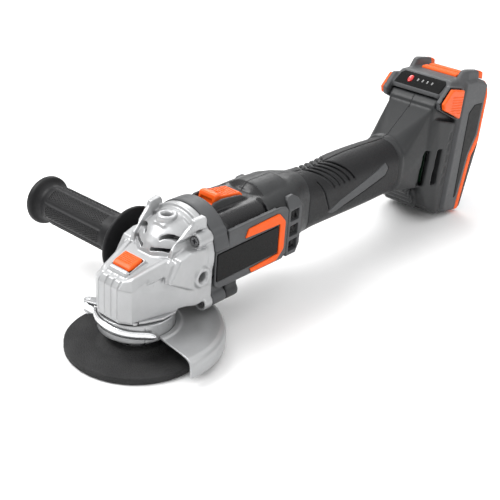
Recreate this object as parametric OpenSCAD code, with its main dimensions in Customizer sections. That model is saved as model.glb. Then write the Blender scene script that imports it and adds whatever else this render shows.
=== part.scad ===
// Cordless angle grinder with a side handle, a quick-release guard and a slide-on battery.
// Origin: the spindle axis at the disc's working face, which is the surface the tool stands on.
// +X runs along the body towards the battery, +Y towards the side handle, +Z up. Millimetres.

/* [Disc and guard] */
// Radius of the grinding disc
disc_r = 57.5; // [52:0.5:60]
// Thickness of the grinding disc
disc_t = 6; // [4:0.5:6]
// Inner radius of the guard's skirt
guard_r = 70; // [67:0.5:74]
// Where the guard's cover starts, as an angle from the body's direction
guard_from = -98; // [-105:1:-90]
// Angle that the guard covers
guard_sweep = 172; // [160:1:180]
// Height of the guard's top plate
guard_top = 23; // [22:0.5:24]
// Height of the skirt's lower rim
guard_rim = 6; // [4:0.5:8]

/* [Gear case] */
// Height of the motor axis
motor_z = 75.5; // [75:0.25:76]
// Height of the gear case's lower edge
case_z = 42.5; // [42:0.25:43]
// Rear face of the gear case
case_x = 50; // [49:0.5:51]
// Teeth on the pinion; the crown gear has three times as many
pinion_teeth = 12; // [10:1:12]
// Pitch radius of the crown gear
crown_r = 20; // [19:0.25:20]

/* [Body] */
// Front face of the motor housing
housing_x = 66.3; // [66:0.1:67]
// Half width of the motor housing
housing_w = 31.5; // [31:0.5:32]
// Top face of the motor housing under the slide switch
housing_top = 101.5; // [101:0.5:102]
// Start of the grip
grip_x = 182; // [178:1:186]
// End of the grip
grip_end = 326; // [320:1:328]
// Half width of the grip
grip_w = 23.5; // [22:0.5:25]
// Half height of the grip
grip_h = 29; // [27:0.5:30]
// Height of the grip's axis
grip_z = 70.5; // [69:0.5:72]
// Wall thickness of the housings
wall = 2.6; // [2.4:0.1:3]

/* [Battery] */
// Backward lean of the battery
pack_tilt = 4; // [3:0.5:5]
// Place of the battery's mating face along the body
pack_x = 397; // [396:0.5:399]
// Half width of the battery
pack_w = 36; // [35.5:0.5:37]
// Depth of the battery behind its mating face
pack_depth = 54; // [53:0.5:55]
// Wall thickness of the battery case
pack_wall = 2.2; // [2:0.1:2.5]
// Radius of one battery cell
cell_r = 9.1; // [9:0.05:9.2]

/* [Side handle] */
// Place of the side handle's axis along the body
handle_x = 38; // [37:0.5:39]
// Height of the side handle's axis
handle_z = 61.4; // [61:0.2:62]
// Outer end of the side handle
handle_end = 163; // [150:1:170]
// Radius of the side handle's grip
handle_r = 16.5; // [15:0.5:18]
// Radius of the handle's hand guard
hand_guard_r = 31.7; // [28:0.1:32]

/* [Hidden] */
$fn = 64;

big = 400;
fit = 0.05;
gap = 0.35;

// Colours
silver = "#c9cbcc";
steel = "#a9adb0";
dark = "#3c3e40";
grey = "#6f7274";
black = "#1c1c1d";
orange = "#f1601f";
copper = "#b4683a";
green = "#2c6b45";

// Radius of the M8 threads for the side handle
m8_r = 4;

// Disc stack, upwards from the working face
hub_rise = 5;
hub_top = hub_rise + disc_t;
flange_t = 4;
flange_top = hub_top + flange_t;
spindle_thread_r = 7;
spindle_r = 7.5;
spindle_gear_r = 6;
spindle_tip_r = 4;
spindle_tip_z = 71.2;
shoulder_r = 10;
shoulder_top = 18;
bush_r = 6;
bush_z = 67.3;
bush_len = 4.1;

// Bearing cap and clamp collar
neck_r = 27.5;
neck_z = 19;
collar_r = 31;
collar_top = 35.4;
cap_z = 36;
cap_bearing_r = 17.5;
cap_bearing_z = 38.5;
cap_bearing_t = 11;
cap_spigot_top = 50;

// Gears: a straight pinion on a crown gear, with generous backlash
crown_teeth = 3 * pinion_teeth;
pinion_r = crown_r * pinion_teeth / crown_teeth;
tooth_out = 0.8;
tooth_root = 0.9;
tooth_thick = 1.0;
tooth_tip = 0.6;
face_w = 5;
crown_pitch_z = motor_z - pinion_r;
crown_root_z = crown_pitch_z - tooth_root;
crown_hub_z = 58;
crown_web_z = 65;
crown_web_r = 16.2;
chamber_r = 24;
chamber_roof = 67.2;
gear_x = crown_r - face_w / 2;

// Spindle lock
lock_x = -12;
lock_pin_r = 2.5;
lock_pin_z = 66;
button_z = 75.6;
button_len = 14;
button_w = 19;
pocket_z = 72.3;
spring_z = 69;

// Motor
front_bearing_x = 28;
front_bearing_t = 8;
front_bearing_r = 13;
rear_bearing_x = 140;
rear_bearing_t = 7;
rear_bearing_r = 11;
shaft_r = 4;
shaft_big_r = 5;
can_r = 23;
can_x = 70;
can_len = 47;
fan_r = 24;

// Screws that join the gear case, ring and housing: [y, z, head face x]
case_screws = [[26.5, 91, 35], [-26.5, 91, 35], [29, 35, 41], [-29, 35, 41]];
case_screw_r = 2;
ring_r = 36;
ring_w = 31.2;
ring_end = 66;
housing_low = 40;
hump_x = 131;
hump_r = 32.3;
neck_x = 158;
sleeve_t = 2;

// Guard lever
lever_pin_x = -20;
lever_pin_y = 34;
lever_pin_r = 2;
lever_low = 26.6;
lever_high = 33.8;
clevis_low = 24.4;
clevis_high = 35.4;

// Slide switch, and where its rod turns down to the switch body
slider_x = 74;
slider_end = 109;
rod_leg_x = 158;
switch_x = 186;

// Battery outline: lowest point stands on the floor
pack_foot_u = 34;
pack_lift = pack_foot_u * sin(pack_tilt);
head_u = -35;
head_w = 30;
head_z = 131;
pack_top = 148;
block_w = 22;
rail_w = 26;
slide_clear = 0.5;
gauge_slope = 35.05;
button_floor = 31.2;
spring_u = -12;
spring_v = 28.5;
spring_w = 137.5;

// ---------- helpers ----------

module along_x(x = 0, y = 0, z = 0) translate([x, y, z]) rotate([0, 90, 0]) children();
module along_y(x = 0, y = 0, z = 0) translate([x, y, z]) rotate([-90, 0, 0]) children();
module on_side(side) mirror([0, side < 0 ? 1 : 0, 0]) children();
module in_pack() translate([pack_x, 0, pack_lift]) rotate([0, pack_tilt, 0]) children();
// A side-view outline of [x, z] points, made solid between two y values
module side_plate(points, y0, y1)
    translate([0, y1, 0]) rotate([90, 0, 0]) linear_extrude(y1 - y0) polygon(points);
module tube(outer, inner, height) difference() {
    cylinder(r = outer, h = height);
    translate([0, 0, -1]) cylinder(r = inner, h = height + 2);
}
// Rounded rectangle of the body's cross-section, drawn in [-z, y] for along_x
module section(half_w, low, high, corner) {
    mid = (low + high) / 2;
    half_h = (high - low) / 2;
    translate([-mid, 0]) {
        square([2 * half_h, 2 * (half_w - corner)], center = true);
        square([2 * (half_h - corner), 2 * half_w], center = true);
        for (a = [-1, 1], b = [-1, 1])
            translate([a * (half_h - corner), b * (half_w - corner)]) circle(corner);
    }
}
module body_slice(x, length, half_w, low, high, corner)
    along_x(x) linear_extrude(length) section(half_w, low, high, corner);
// Pan-head screw along +Z, its head's top at z = 0 and its shank below
module screw(head_r, head_t, shank_r, length) {
    difference() {
        translate([0, 0, -head_t]) cylinder(r = head_r, h = head_t);
        for (a = [0, 90]) rotate([0, 0, a]) cube([head_r * 1.2, head_r * 0.26, head_t], center = true);
    }
    translate([0, 0, -length]) cylinder(r = shank_r, h = length - head_t + 0.01);
}

// ---------- disc stack ----------

module grinding_disc() color(black) rotate_extrude($fn = 128) polygon([
    [11.15, hub_rise], [24, hub_rise], [29, 0], [disc_r, 0], [disc_r, disc_t], [31, disc_t],
    [26, hub_top], [11.15, hub_top]
]);

module inner_flange() color(steel) difference() {
    union() {
        translate([0, 0, hub_top]) cylinder(r = 20, h = flange_t);
        translate([0, 0, hub_top - 4]) cylinder(r = 11, h = 5);
    }
    translate([0, 0, hub_top - 5]) cylinder(r = spindle_thread_r + fit, h = flange_t + 6);
    for (a = [0, 180]) rotate([0, 0, a]) translate([17, -4, hub_top + 1]) cube([5, 8, flange_t]);
}

module clamp_nut() color(steel) difference() {
    union() {
        translate([0, 0, 0.8]) cylinder(r = 18, h = 4.1);
        translate([0, 0, 2]) cylinder(r = 10.8, h = 4.6);
    }
    cylinder(r = spindle_thread_r + fit, h = 10);
    for (a = [0 : 90 : 270]) rotate([0, 0, a]) translate([14.5, 0, 0]) cylinder(r = 2, h = 3.6);
}

module spindle() color(steel) difference() {
    union() {
        translate([0, 0, 1.2]) cylinder(r = spindle_thread_r, h = shoulder_top);
        translate([0, 0, flange_top + fit]) cylinder(r = shoulder_r, h = shoulder_top - flange_top);
        translate([0, 0, shoulder_top - 1]) cylinder(r = spindle_r, h = 51 - shoulder_top);
        translate([0, 0, 49]) cylinder(r = spindle_gear_r, h = crown_web_z + 1.5 - 49);
        translate([0, 0, crown_web_z]) cylinder(r = spindle_tip_r, h = spindle_tip_z - crown_web_z);
    }
    cylinder(r = 2.6, h = 8);
}

module lower_bearing() color(steel) translate([0, 0, cap_bearing_z]) difference() {
    tube(cap_bearing_r - fit, spindle_r + fit, cap_bearing_t);
    for (z = [-1, cap_bearing_t - 1]) translate([0, 0, z]) tube(14.2, 10.4, 2);
}

module upper_bush() color("#b08d57")
    translate([0, 0, bush_z]) tube(bush_r - fit, spindle_tip_r + fit, bush_len);

// ---------- gears ----------

module tooth(length) rotate([0, 90, 0]) linear_extrude(length) polygon([
    [0.4, -tooth_thick / 2 - 0.1], [-tooth_root - tooth_out, -tooth_tip / 2],
    [-tooth_root - tooth_out, tooth_tip / 2], [0.4, tooth_thick / 2 + 0.1]
]);

module crown_gear() color(steel) difference() {
    union() {
        translate([0, 0, crown_hub_z]) cylinder(r = gear_x + face_w, h = crown_root_z - crown_hub_z);
        for (i = [0 : crown_teeth - 1]) rotate([0, 0, (i + 0.5) * 360 / crown_teeth])
            translate([gear_x, 0, crown_root_z]) tooth(face_w - 0.2);
    }
    difference() {
        translate([0, 0, crown_web_z]) cylinder(r = crown_web_r, h = 10);
        translate([0, 0, crown_web_z - 1]) cylinder(r = 8.4, h = 2.5);
    }
    translate([0, 0, crown_hub_z - 1]) cylinder(r = spindle_gear_r + fit, h = 20);
    for (a = [0 : 90 : 270])
        rotate([0, 0, a]) translate([lock_x, 0, crown_hub_z - 1]) cylinder(r = 3.1, h = 20);
}

module pinion() color(steel) along_x(gear_x, 0, motor_z) difference() {
    union() {
        cylinder(r = pinion_r - tooth_root, h = face_w);
        translate([0, 0, face_w - 0.5]) cylinder(r = pinion_r - tooth_root, h = 4.5);
        for (i = [0 : pinion_teeth - 1]) rotate([0, 0, i * 360 / pinion_teeth])
            translate([pinion_r - tooth_root, 0, 0]) rotate([0, -90, 0]) mirror([1, 0, 0]) tooth(face_w);
    }
    translate([0, 0, -1]) cylinder(r = shaft_r + fit, h = face_w + 6);
}

// ---------- gear case ----------

module case_plan() polygon([
    [-30, -12], [-23, -21.5], [30, -33], [case_x, -33], [case_x, 33], [30, 33], [-23, 21.5], [-30, 12]
]);

module case_shape() {
    intersection() {
        translate([0, 0, case_z]) linear_extrude(big) case_plan();
        side_plate([
            [-40, 40], [-40, 63], [-30, 67], [-27, 71], [14, 82], [30, 94], [case_x, 94], [case_x, 40]
        ], -40, 40);
    }
    // Dome over the motor shaft, with the top boss
    along_x(16, 0, motor_z) cylinder(r1 = 20, r2 = 29, h = 15);
    along_x(30, 0, motor_z) cylinder(r = 29, h = case_x - 30);
    translate([30.5, 0, 90]) cylinder(r1 = 11, r2 = 8, h = 17);
    // Rear flange, screw bosses and top ears
    along_x(44, 0, motor_z) cylinder(r = ring_r - 1, h = case_x - 44);
    for (s = case_screws) along_x(s[2] + 1, s[0], s[1]) cylinder(r = 6, h = case_x - s[2] - 1);
    for (side = [-1, 1]) {
        on_side(side) side_plate([[16, 79], [16, 88], [34, 105], [case_x, 105], [case_x, 79]], 19, 23.5);
        on_side(side) side_plate([[35, 100], [41, 109], [46, 109], [case_x, 99]], 20, 28);
        on_side(side) translate([43, 20, case_z - 9]) cube([case_x - 43, 11, 15]);
        on_side(side) along_y(handle_x, 30, handle_z) cylinder(r = 8, h = 4);
    }
    // Raised collar round the lock button
    side_plate([[-21, 66], [-20, 75.4], [-1, 81], [0.5, 76]], -button_w / 2 - 2, button_w / 2 + 2);
}

module gear_case() color(silver) difference() {
    case_shape();
    // Crown gear chamber, open below for the bearing cap
    translate([0, 0, case_z - 1]) cylinder(r = chamber_r, h = chamber_roof - case_z + 1);
    translate([0, 0, crown_hub_z]) tube(chamber_r, crown_web_r - 0.6, crown_pitch_z + 2.2 - crown_hub_z);
    translate([0, 0, bush_z]) cylinder(r = bush_r, h = bush_len + 0.1);
    translate([0, 0, 60]) cylinder(r = spindle_tip_r + 0.5, h = spindle_tip_z + 0.3 - 60);
    // Motor shaft tunnel, bearing seat and fan inlet
    along_x(9, 0, motor_z) cylinder(r = pinion_r + 2, h = 30);
    along_x(front_bearing_x, 0, motor_z) cylinder(r = front_bearing_r, h = 20);
    along_x(front_bearing_x + front_bearing_t, 0, motor_z) cylinder(r = 20, h = 20);
    // Lock pin, spring and button pocket
    translate([lock_x, 0, 60]) cylinder(r = lock_pin_r + fit, h = 20);
    translate([lock_x, 0, spring_z]) cylinder(r = 4.7, h = 10);
    translate([lock_x + 2 - button_len / 2 - gap, -button_w / 2 - gap, pocket_z])
        cube([button_len + 2 * gap, button_w + 2 * gap, 20]);
    // Threaded holes: both sides and top
    for (side = [-1, 1]) on_side(side) along_y(handle_x, 19, handle_z) cylinder(r = m8_r, h = 20);
    translate([30.5, 0, 97]) cylinder(r = m8_r, h = 12);
    // Screw holes and air slots beside the dome
    for (s = case_screws) along_x(30, s[0], s[1]) cylinder(r = case_screw_r + 0.05, h = 30);
    for (s = case_screws) along_x(s[2] - 20, s[0], s[1]) cylinder(r = 4.6, h = 22.5);
    for (side = [-1, 1], z = [84, 90]) on_side(side) translate([36, 4, z]) cube([6, 20, 3]);
    for (a = [45 : 90 : 315]) rotate([0, 0, a]) translate([27.4, 0, case_z - 1]) cylinder(r = 1.55, h = 9);
}

module gear_case_screws() color("#8d8f92") for (s = case_screws)
    along_x(s[2], s[0], s[1]) rotate([180, 0, 0]) screw(4, 2.4, case_screw_r, 38);

module bearing_cap() color(silver) difference() {
    union() {
        intersection() {
            translate([0, 0, cap_z]) linear_extrude(case_z - cap_z - fit) offset(delta = -1) case_plan();
            translate([0, 0, cap_z]) cylinder(r = 33, h = 20);
        }
        translate([0, 0, neck_z]) cylinder(r = neck_r, h = cap_z - neck_z + 1);
        translate([0, 0, case_z - 1]) cylinder(r = chamber_r - fit, h = cap_spigot_top - case_z + 1);
    }
    translate([0, 0, cap_bearing_z]) cylinder(r = cap_bearing_r, h = 20);
    translate([0, 0, neck_z - 1]) cylinder(r = 12, h = 30);
    translate([0, 0, neck_z - 1]) cylinder(r = 21, h = 6);
    for (a = [45 : 90 : 315]) rotate([0, 0, a]) translate([27.4, 0, cap_z - 1]) cylinder(r = 1.55, h = 9);
    for (a = [45 : 90 : 315]) rotate([0, 0, a]) translate([27.4, 0, cap_z - 1]) cylinder(r = 3.2, h = 3.2);
}

module bearing_cap_screws() color("#8d8f92") for (a = [45 : 90 : 315])
    rotate([0, 0, a]) translate([27.4, 0, cap_z + 0.1]) rotate([180, 0, 0]) screw(2.9, 2, 1.5, 12);

module lock_button() color(orange) intersection() {
    translate([lock_x + 2 - button_len / 2, -button_w / 2, button_z]) cube([button_len, button_w, 10]);
    side_plate([[-30, 70], [-30, 74], [-16.5, 78], [-14, 79.4], [-4, 83], [-3, 82], [0, 70]], -20, 20);
}

module lock_pin() color(steel)
    translate([lock_x, 0, lock_pin_z]) cylinder(r = lock_pin_r, h = button_z - lock_pin_z);

module lock_spring() color(steel) for (i = [0 : 3]) translate([lock_x, 0, spring_z + 0.6 + i * 1.76])
    rotate_extrude() translate([3.9, 0]) circle(0.45, $fn = 16);

// ---------- guard ----------

module guard_shell() color("#9c9fa1") rotate([0, 0, guard_from])
    rotate_extrude(angle = guard_sweep, $fn = 128) polygon([
        [collar_r, guard_top - 1.8], [guard_r - 3, guard_top - 1.8],
        [guard_r, guard_top - 5], [guard_r, guard_rim],
        [guard_r + 1.8, guard_rim], [guard_r + 1.8, guard_top - 4], [guard_r - 2.2, guard_top],
        [36.5, guard_top], [35, guard_top + 1.4], [collar_r, guard_top + 1.4]
    ]);

module clevis_plate(z, t) translate([0, 0, z]) linear_extrude(t) hull() {
    translate([lever_pin_x, lever_pin_y]) circle(4, $fn = 32);
    rotate([0, 0, 116]) translate([29.6, 0]) circle(1.3, $fn = 32);
    rotate([0, 0, 130]) translate([29.6, 0]) circle(1.3, $fn = 32);
}

module guard_collar() color("#b9bcbe") difference() {
    union() {
        translate([0, 0, neck_z + 0.5]) cylinder(r = collar_r - 0.02, h = collar_top - neck_z - 0.5);
        clevis_plate(clevis_low, lever_low - 0.3 - clevis_low);
        clevis_plate(lever_high + 0.3, clevis_high - lever_high - 0.3);
        rotate([0, 0, 100]) translate([29, -7, lever_low + 0.4]) cube([9, 14, 6]);
    }
    cylinder(r = neck_r + 0.1, h = 60);
    // Split between the two clamping lugs, and the hole for the clamp bolt
    rotate([0, 0, 100]) translate([20, -1, 0]) cube([30, 2, 60]);
    rotate([0, 0, 100]) along_y(34.4, -20, lever_low + 3.4) cylinder(r = 1.7, h = 40);
    translate([lever_pin_x, lever_pin_y, 0]) cylinder(r = lever_pin_r, h = 60);
}

module clamp_bolt() color(steel) rotate([0, 0, 100]) translate([34.4, 0, lever_low + 3.4]) {
    along_y(0, -8.8, 0) cylinder(r = 1.65, h = 17.6);
    along_y(0, -9, 0) cylinder(r = 2.8, h = 1.9);
    along_y(0, 7.1, 0) cylinder(r = 2.8, h = 1.9, $fn = 6);
}

// Plan of the lever: an eye on its pin, an arm round the collar and a thumb tab curled outwards
module lever_plan() {
    inner_r = collar_r + 0.6;
    difference() {
        intersection() {
            circle(inner_r + 2.2, $fn = 128);
            polygon([[0, 0], 80 * [cos(134), sin(134)], [-90, 0], [-90, -60], 80 * [cos(252), sin(252)]]);
        }
        circle(inner_r, $fn = 128);
    }
    translate([lever_pin_x, lever_pin_y]) circle(4.2);
    hull() {
        translate([lever_pin_x - 2.4, lever_pin_y - 1.4]) circle(1.4, $fn = 32);
        rotate([0, 0, 137]) translate([inner_r + 1.1, 0]) circle(1, $fn = 32);
    }
    rotate([0, 0, 250]) translate([inner_r + 0.05, 0]) rotate([0, 0, -16]) square([2.1, 12]);
}

module guard_lever() color("#d7d9da") translate([0, 0, lever_low]) linear_extrude(lever_high - lever_low)
    difference() {
        lever_plan();
        translate([lever_pin_x, lever_pin_y]) circle(lever_pin_r + fit);
    }

module lever_pin() color(steel) translate([lever_pin_x, lever_pin_y, clevis_low]) {
    cylinder(r = lever_pin_r, h = clevis_high - clevis_low);
    translate([0, 0, -0.9]) cylinder(r = 3, h = 0.9);
}

// ---------- motor ----------

module motor_shaft() color(steel) union() {
    along_x(gear_x - 0.5, 0, motor_z) cylinder(r = shaft_r, h = rear_bearing_x + rear_bearing_t - gear_x);
    along_x(front_bearing_x - 0.4, 0, motor_z) cylinder(r = shaft_big_r, h = 36);
}

module front_bearing() color(steel) along_x(front_bearing_x, 0, motor_z) difference() {
    tube(front_bearing_r - fit, shaft_big_r + fit, front_bearing_t);
    for (z = [-1, front_bearing_t - 1]) translate([0, 0, z]) tube(10.6, 7.6, 2);
}

module rear_bearing() color(steel) along_x(rear_bearing_x, 0, motor_z) difference() {
    tube(rear_bearing_r - fit, shaft_r + fit, rear_bearing_t);
    for (z = [-1, rear_bearing_t - 1]) translate([0, 0, z]) tube(8.8, 6.4, 2);
}

module fan() color(black) along_x(0, 0, motor_z) difference() {
    union() {
        translate([0, 0, 52]) cylinder(r = 8, h = 12);
        translate([0, 0, 62]) cylinder(r = fan_r, h = 1.6);
        for (i = [0 : 10])
            rotate([0, 0, i * 360 / 11]) translate([7, -0.7, 53.5]) cube([fan_r - 8, 1.4, 9]);
    }
    translate([0, 0, 50]) cylinder(r = shaft_big_r + fit, h = 20);
}

module armature() color(copper) along_x(0, 0, motor_z) difference() {
    union() {
        translate([0, 0, 76]) cylinder(r = 17, h = 40);
        translate([0, 0, 72]) cylinder(r = 13.5, h = 48);
    }
    for (i = [0 : 11]) rotate([0, 0, i * 30]) translate([15, -0.8, 70]) cube([4, 1.6, 60]);
    translate([0, 0, 70]) cylinder(r = shaft_r + fit, h = 60);
}

module commutator() color(copper) along_x(0, 0, motor_z) difference() {
    translate([0, 0, 122]) cylinder(r = 9, h = 12);
    for (i = [0 : 11]) rotate([0, 0, i * 30]) translate([8.2, -0.3, 120]) cube([2, 0.6, 16]);
    translate([0, 0, 120]) cylinder(r = shaft_r + fit, h = 20);
}

module motor_can() color("#77797b") along_x(can_x, 0, motor_z) difference() {
    cylinder(r = can_r, h = can_len);
    translate([0, 0, 2]) cylinder(r = can_r - 1.2, h = 80);
    translate([0, 0, -1]) cylinder(r = 9, h = 5);
    for (i = [0 : 5]) rotate([0, 0, i * 60]) translate([14, -3, -1]) cube([5, 6, 5]);
}

module magnets() color("#4a4a4d") for (side = [0, 180]) along_x(76, 0, motor_z)
    rotate([0, 0, side + 30]) rotate_extrude(angle = 120)
        translate([18, 0]) square([can_r - 1.2 - fit - 18, 36]);

module brush_holders() color(grey) for (side = [-1, 1]) on_side(side) difference() {
    translate([124, 10.4, motor_z - 4.5]) cube([8, 12, 9]);
    translate([125.5, 9, motor_z - 3]) cube([5, 12, 6]);
}

module brushes() color(black) for (side = [-1, 1]) on_side(side)
    translate([125.6, 9.3, motor_z - 2.9]) cube([4.8, 11, 5.8]);

// ---------- ring between gear case and housing ----------

module front_ring() color(grey) difference() {
    union() {
        intersection() {
            along_x(case_x, 0, motor_z) cylinder(r = ring_r, h = ring_end - case_x);
            translate([0, -ring_w, 0]) cube([big, 2 * ring_w, big]);
        }
        for (s = case_screws) along_x(case_x, s[0], s[1]) cylinder(r = 6, h = ring_end - case_x);
        for (side = [-1, 1]) on_side(side) translate([case_x, 21, 34]) cube([ring_end - case_x, 10, 20]);
    }
    along_x(case_x - 1, 0, motor_z) cylinder(r = 26, h = 30);
    for (s = case_screws) along_x(case_x - 1, s[0], s[1]) cylinder(r = case_screw_r + 0.05, h = 30);
}

// ---------- housing ----------

// Slices of the motor housing and of the grip, set in by skin
module motor_slice(x, length, skin)
    body_slice(x, length, housing_w - skin, housing_low + skin, housing_top - skin, 14 - skin);
module grip_slice(x, length, skin)
    body_slice(x, length, grip_w - skin, grip_z - grip_h + skin, grip_z + grip_h - skin, 22 - skin);

// Outside of both halves together; skin takes the wall off for the inside
module housing_outside(skin = 0) {
    motor_slice(housing_x, neck_x - housing_x, skin);
    intersection() {
        along_x(hump_x, 0, motor_z) cylinder(r = hump_r - skin, h = neck_x - hump_x);
        translate([0, -housing_w + skin, 0]) cube([big, 2 * (housing_w - skin), big]);
    }
    // Neck between the motor housing and the grip
    hull() {
        motor_slice(neck_x - 1, 1, skin, $fn = 32);
        grip_slice(grip_x, 1, skin, $fn = 32);
    }
    body_slice(grip_x, grip_end - grip_x, grip_w - sleeve_t - skin, grip_z - grip_h + sleeve_t + skin,
        grip_z + grip_h - sleeve_t - skin, 20 - skin);
    // Foot that carries the battery, and the flare from the grip into it
    hull() {
        grip_slice(grip_end - 2, 3, skin, $fn = 32);
        in_pack() side_plate([
            [-40 + skin, 125 - skin], [-40 + skin, 34 + skin], [-30, 26 + skin], [-30, 129 - skin],
            [-36 + skin, 129 - skin]
        ], -27 + skin, 27 - skin);
    }
    in_pack() side_plate([[-gap - skin, 5 + skin], [-gap - skin, 103 - skin], [-34 + skin, 116 - skin],
        [-34 + skin, 24 + skin], [-14, 7 + skin]], -33.5 + skin, 33.5 - skin);
    in_pack() translate([-35 + skin, -28 + skin, 100])
        cube([35 - gap - 2 * skin, 56 - 2 * skin, 30.3 - skin]);
}

module housing_hollow() {
    along_x(housing_x - 1, 0, motor_z) cylinder(r = can_r + 0.4, h = rear_bearing_x - housing_x - 4);
    along_x(rear_bearing_x - 6, 0, motor_z) cylinder(r = 9, h = 20);
    along_x(rear_bearing_x, 0, motor_z) cylinder(r = rear_bearing_r, h = rear_bearing_t + 0.3);
    difference() {
        intersection() {
            housing_outside(wall);
            translate([rear_bearing_x + rear_bearing_t + 2, -big / 2, 0]) cube([big, big, big]);
        }
        in_pack() translate([-15.5, -30, 0]) cube([20, 60, 150]);
        for (p = housing_screw_places) along_y(p[0], -big / 2, p[1]) cylinder(r = 4.2, h = big);
    }
    // Channel of the switch rod under the roof, and the slot for the slider's tongue
    translate([slider_x, -4.3, 98]) cube([rod_leg_x + 4 - slider_x, 8.6, 2.7]);
    translate([slider_x + 1, -3, 98]) cube([24, 6, 10]);
}

// [x, z] of the screws that join the two halves
housing_screw_places = [[153, 48], [146, 94], [342, 62], [352, 88], [372, 36]];

// Recess that takes the battery's slide block, open at the top
module slide_recess() in_pack() {
    translate([-12 - slide_clear, -block_w - slide_clear, 14]) cube([20, 2 * (block_w + slide_clear), 130]);
    translate([-9, -rail_w - slide_clear, 14]) cube([5.3, 2 * (rail_w + slide_clear), 130]);
    translate([-12, -16, 7]) cube([6, 32, 10]);
}

module housing_half(side) difference() {
    union() {
        intersection() {
            union() {
                housing_outside();
                for (s = [case_screws[2], case_screws[3]]) {
                    along_x(housing_x, s[0], s[1]) cylinder(r = 6, h = 16);
                    translate([housing_x, 0.93 * s[0] - 4.4, s[1]]) cube([16, 8.8, 14]);
                }
            }
            translate([0, side > 0 ? 0 : -big / 2, -10]) cube([2 * big, big / 2, big]);
        }
        // Rail beside the slide switch
        on_side(side) side_plate([[67, 100], [67, 106], [72, 108], [104, 105.5], [112, 100]], 10.2, 13);
    }
    housing_hollow();
    slide_recess();
    for (s = case_screws) along_x(housing_x - 1, s[0], s[1]) cylinder(r = case_screw_r + 0.05, h = 14.3);
    on_side(-1) for (p = housing_screw_places) {
        along_y(p[0], -60, p[1]) cylinder(r = 1.55, h = 78);
        along_y(p[0], -64, p[1]) cylinder(r = 3.4, h = 47.3);
    }
    // Air outlet slots behind the side panel, and foot vents
    on_side(side) for (z = vent_rows) translate([vent_x, 20, z]) cube([vent_w, 20, vent_h]);
    on_side(side) for (x = [359, 376]) translate([x, 22, 42]) rotate([0, pack_tilt, 0]) cube([8, 20, 38]);
}

module housing_left() color(dark) housing_half(1);
module housing_right() color(dark) housing_half(-1);

module housing_screws() color("#8d8f92") on_side(-1) for (p = housing_screw_places)
    along_y(p[0], -19, p[1]) rotate([180, 0, 0]) screw(3.1, 2, 1.5, 22);

panel_points = [
    [52.5, 47], [52.5, 78.5], [66.8, 79.5], [66.8, 92.5], [131, 94], [155, 94], [159.5, 88], [159.5, 52],
    [155, 43.5], [56, 43.5]
];
label_points = [[54, 50], [54, 76], [129, 78], [129, 52]];
trim_points = [
    [88, 80], [88, 87], [128, 89], [137, 80], [137, 54], [128, 45], [94, 45], [94, 49.3], [129.7, 51.3],
    [129.7, 78.7]
];
// Air outlets through the rear of the side panel
vent_rows = [47.5, 61.3, 75.5];
vent_x = 145.3;
vent_w = 10;
vent_h = 10;

module side_panel(side) color(grey) on_side(side) difference() {
    side_plate(panel_points, housing_w + fit, 34);
    side_plate(trim_points, 33, 40);
    side_plate(label_points, 33, 40);
    translate([141, 33.2, 40]) cube([0.8, 10, 60]);
    for (z = vent_rows) translate([vent_x, 30, z]) cube([vent_w, 10, vent_h]);
}
module side_panel_left() side_panel(1);
module side_panel_right() side_panel(-1);

module side_trim(side) color(orange) on_side(side) side_plate(trim_points, 33, 34.8);
module side_trim_left() side_trim(1);
module side_trim_right() side_trim(-1);

module label_plates() color(black) for (side = [-1, 1]) on_side(side)
    side_plate([[54.4, 50.5], [54.4, 75.5], [128.6, 77.5], [128.6, 52.5]], 33, 34.4);

inlay_points = [[222, 66], [236, 80], [302, 86], [296, 76], [236, 68]];

module grip_sleeve(side) color(black) difference() {
    intersection() {
        body_slice(grip_x + 1.2, grip_end - grip_x - 3.4, grip_w, grip_z - grip_h, grip_z + grip_h, 22);
        translate([0, side > 0 ? 0 : -big / 2, 0]) cube([big, big / 2, big]);
    }
    body_slice(grip_x, grip_end - grip_x, grip_w - sleeve_t + 0.02, grip_z - grip_h + sleeve_t - 0.02,
        grip_z + grip_h - sleeve_t + 0.02, 20);
    on_side(side) side_plate(inlay_points, grip_w - 1.4, grip_w + 5);
    // V-shaped finger grooves over the top
    for (i = [0 : 3]) translate([190 + i * 9, 0, grip_z + grip_h + 0.2]) rotate([0, 0, side * 30])
        rotate([0, 45, 0]) cube([1.6, 80, 1.6], center = true);
}
module grip_sleeve_left() grip_sleeve(1);
module grip_sleeve_right() grip_sleeve(-1);
module grip_inlays() color(grey) for (side = [-1, 1])
    on_side(side) side_plate(inlay_points, grip_w - 1.4, grip_w + 0.1);

// ---------- switch and electronics ----------

module switch_slider() color(orange) union() {
    difference() {
        side_plate([
            [slider_x, 101.9], [slider_x, 107], [slider_x + 2, 112], [slider_x + 7, 112],
            [slider_x + 9, 109.5],
            [slider_end - 3, 105.5], [slider_end, 101.9]
        ], -9.2, 9.2);
        for (i = [0 : 5])
            translate([slider_x + 11 + i * 3.4, 0, 109.6 - i * 0.7]) cube([1.2, 30, 2.2], center = true);
    }
    translate([slider_x + 10, -2.6, 100.45]) cube([10, 5.2, 2]);
}

module switch_rod() color(black) union() {
    translate([slider_x + 8, -3.8, 99]) cube([rod_leg_x + 3.5 - slider_x - 8, 7.6, 1.4]);
    translate([rod_leg_x, -3.8, 84]) cube([3.5, 7.6, 16]);
    translate([rod_leg_x, -3.8, 84]) cube([switch_x - 0.4 - rod_leg_x, 7.6, 3]);
}

module switch_body() color("#2a2b2e") union() {
    translate([switch_x, -9, 72]) cube([28, 18, 18]);
    for (y = [-5, 5]) translate([switch_x + 27, y - 1.5, 76]) cube([7, 3, 0.9]);
}

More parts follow.
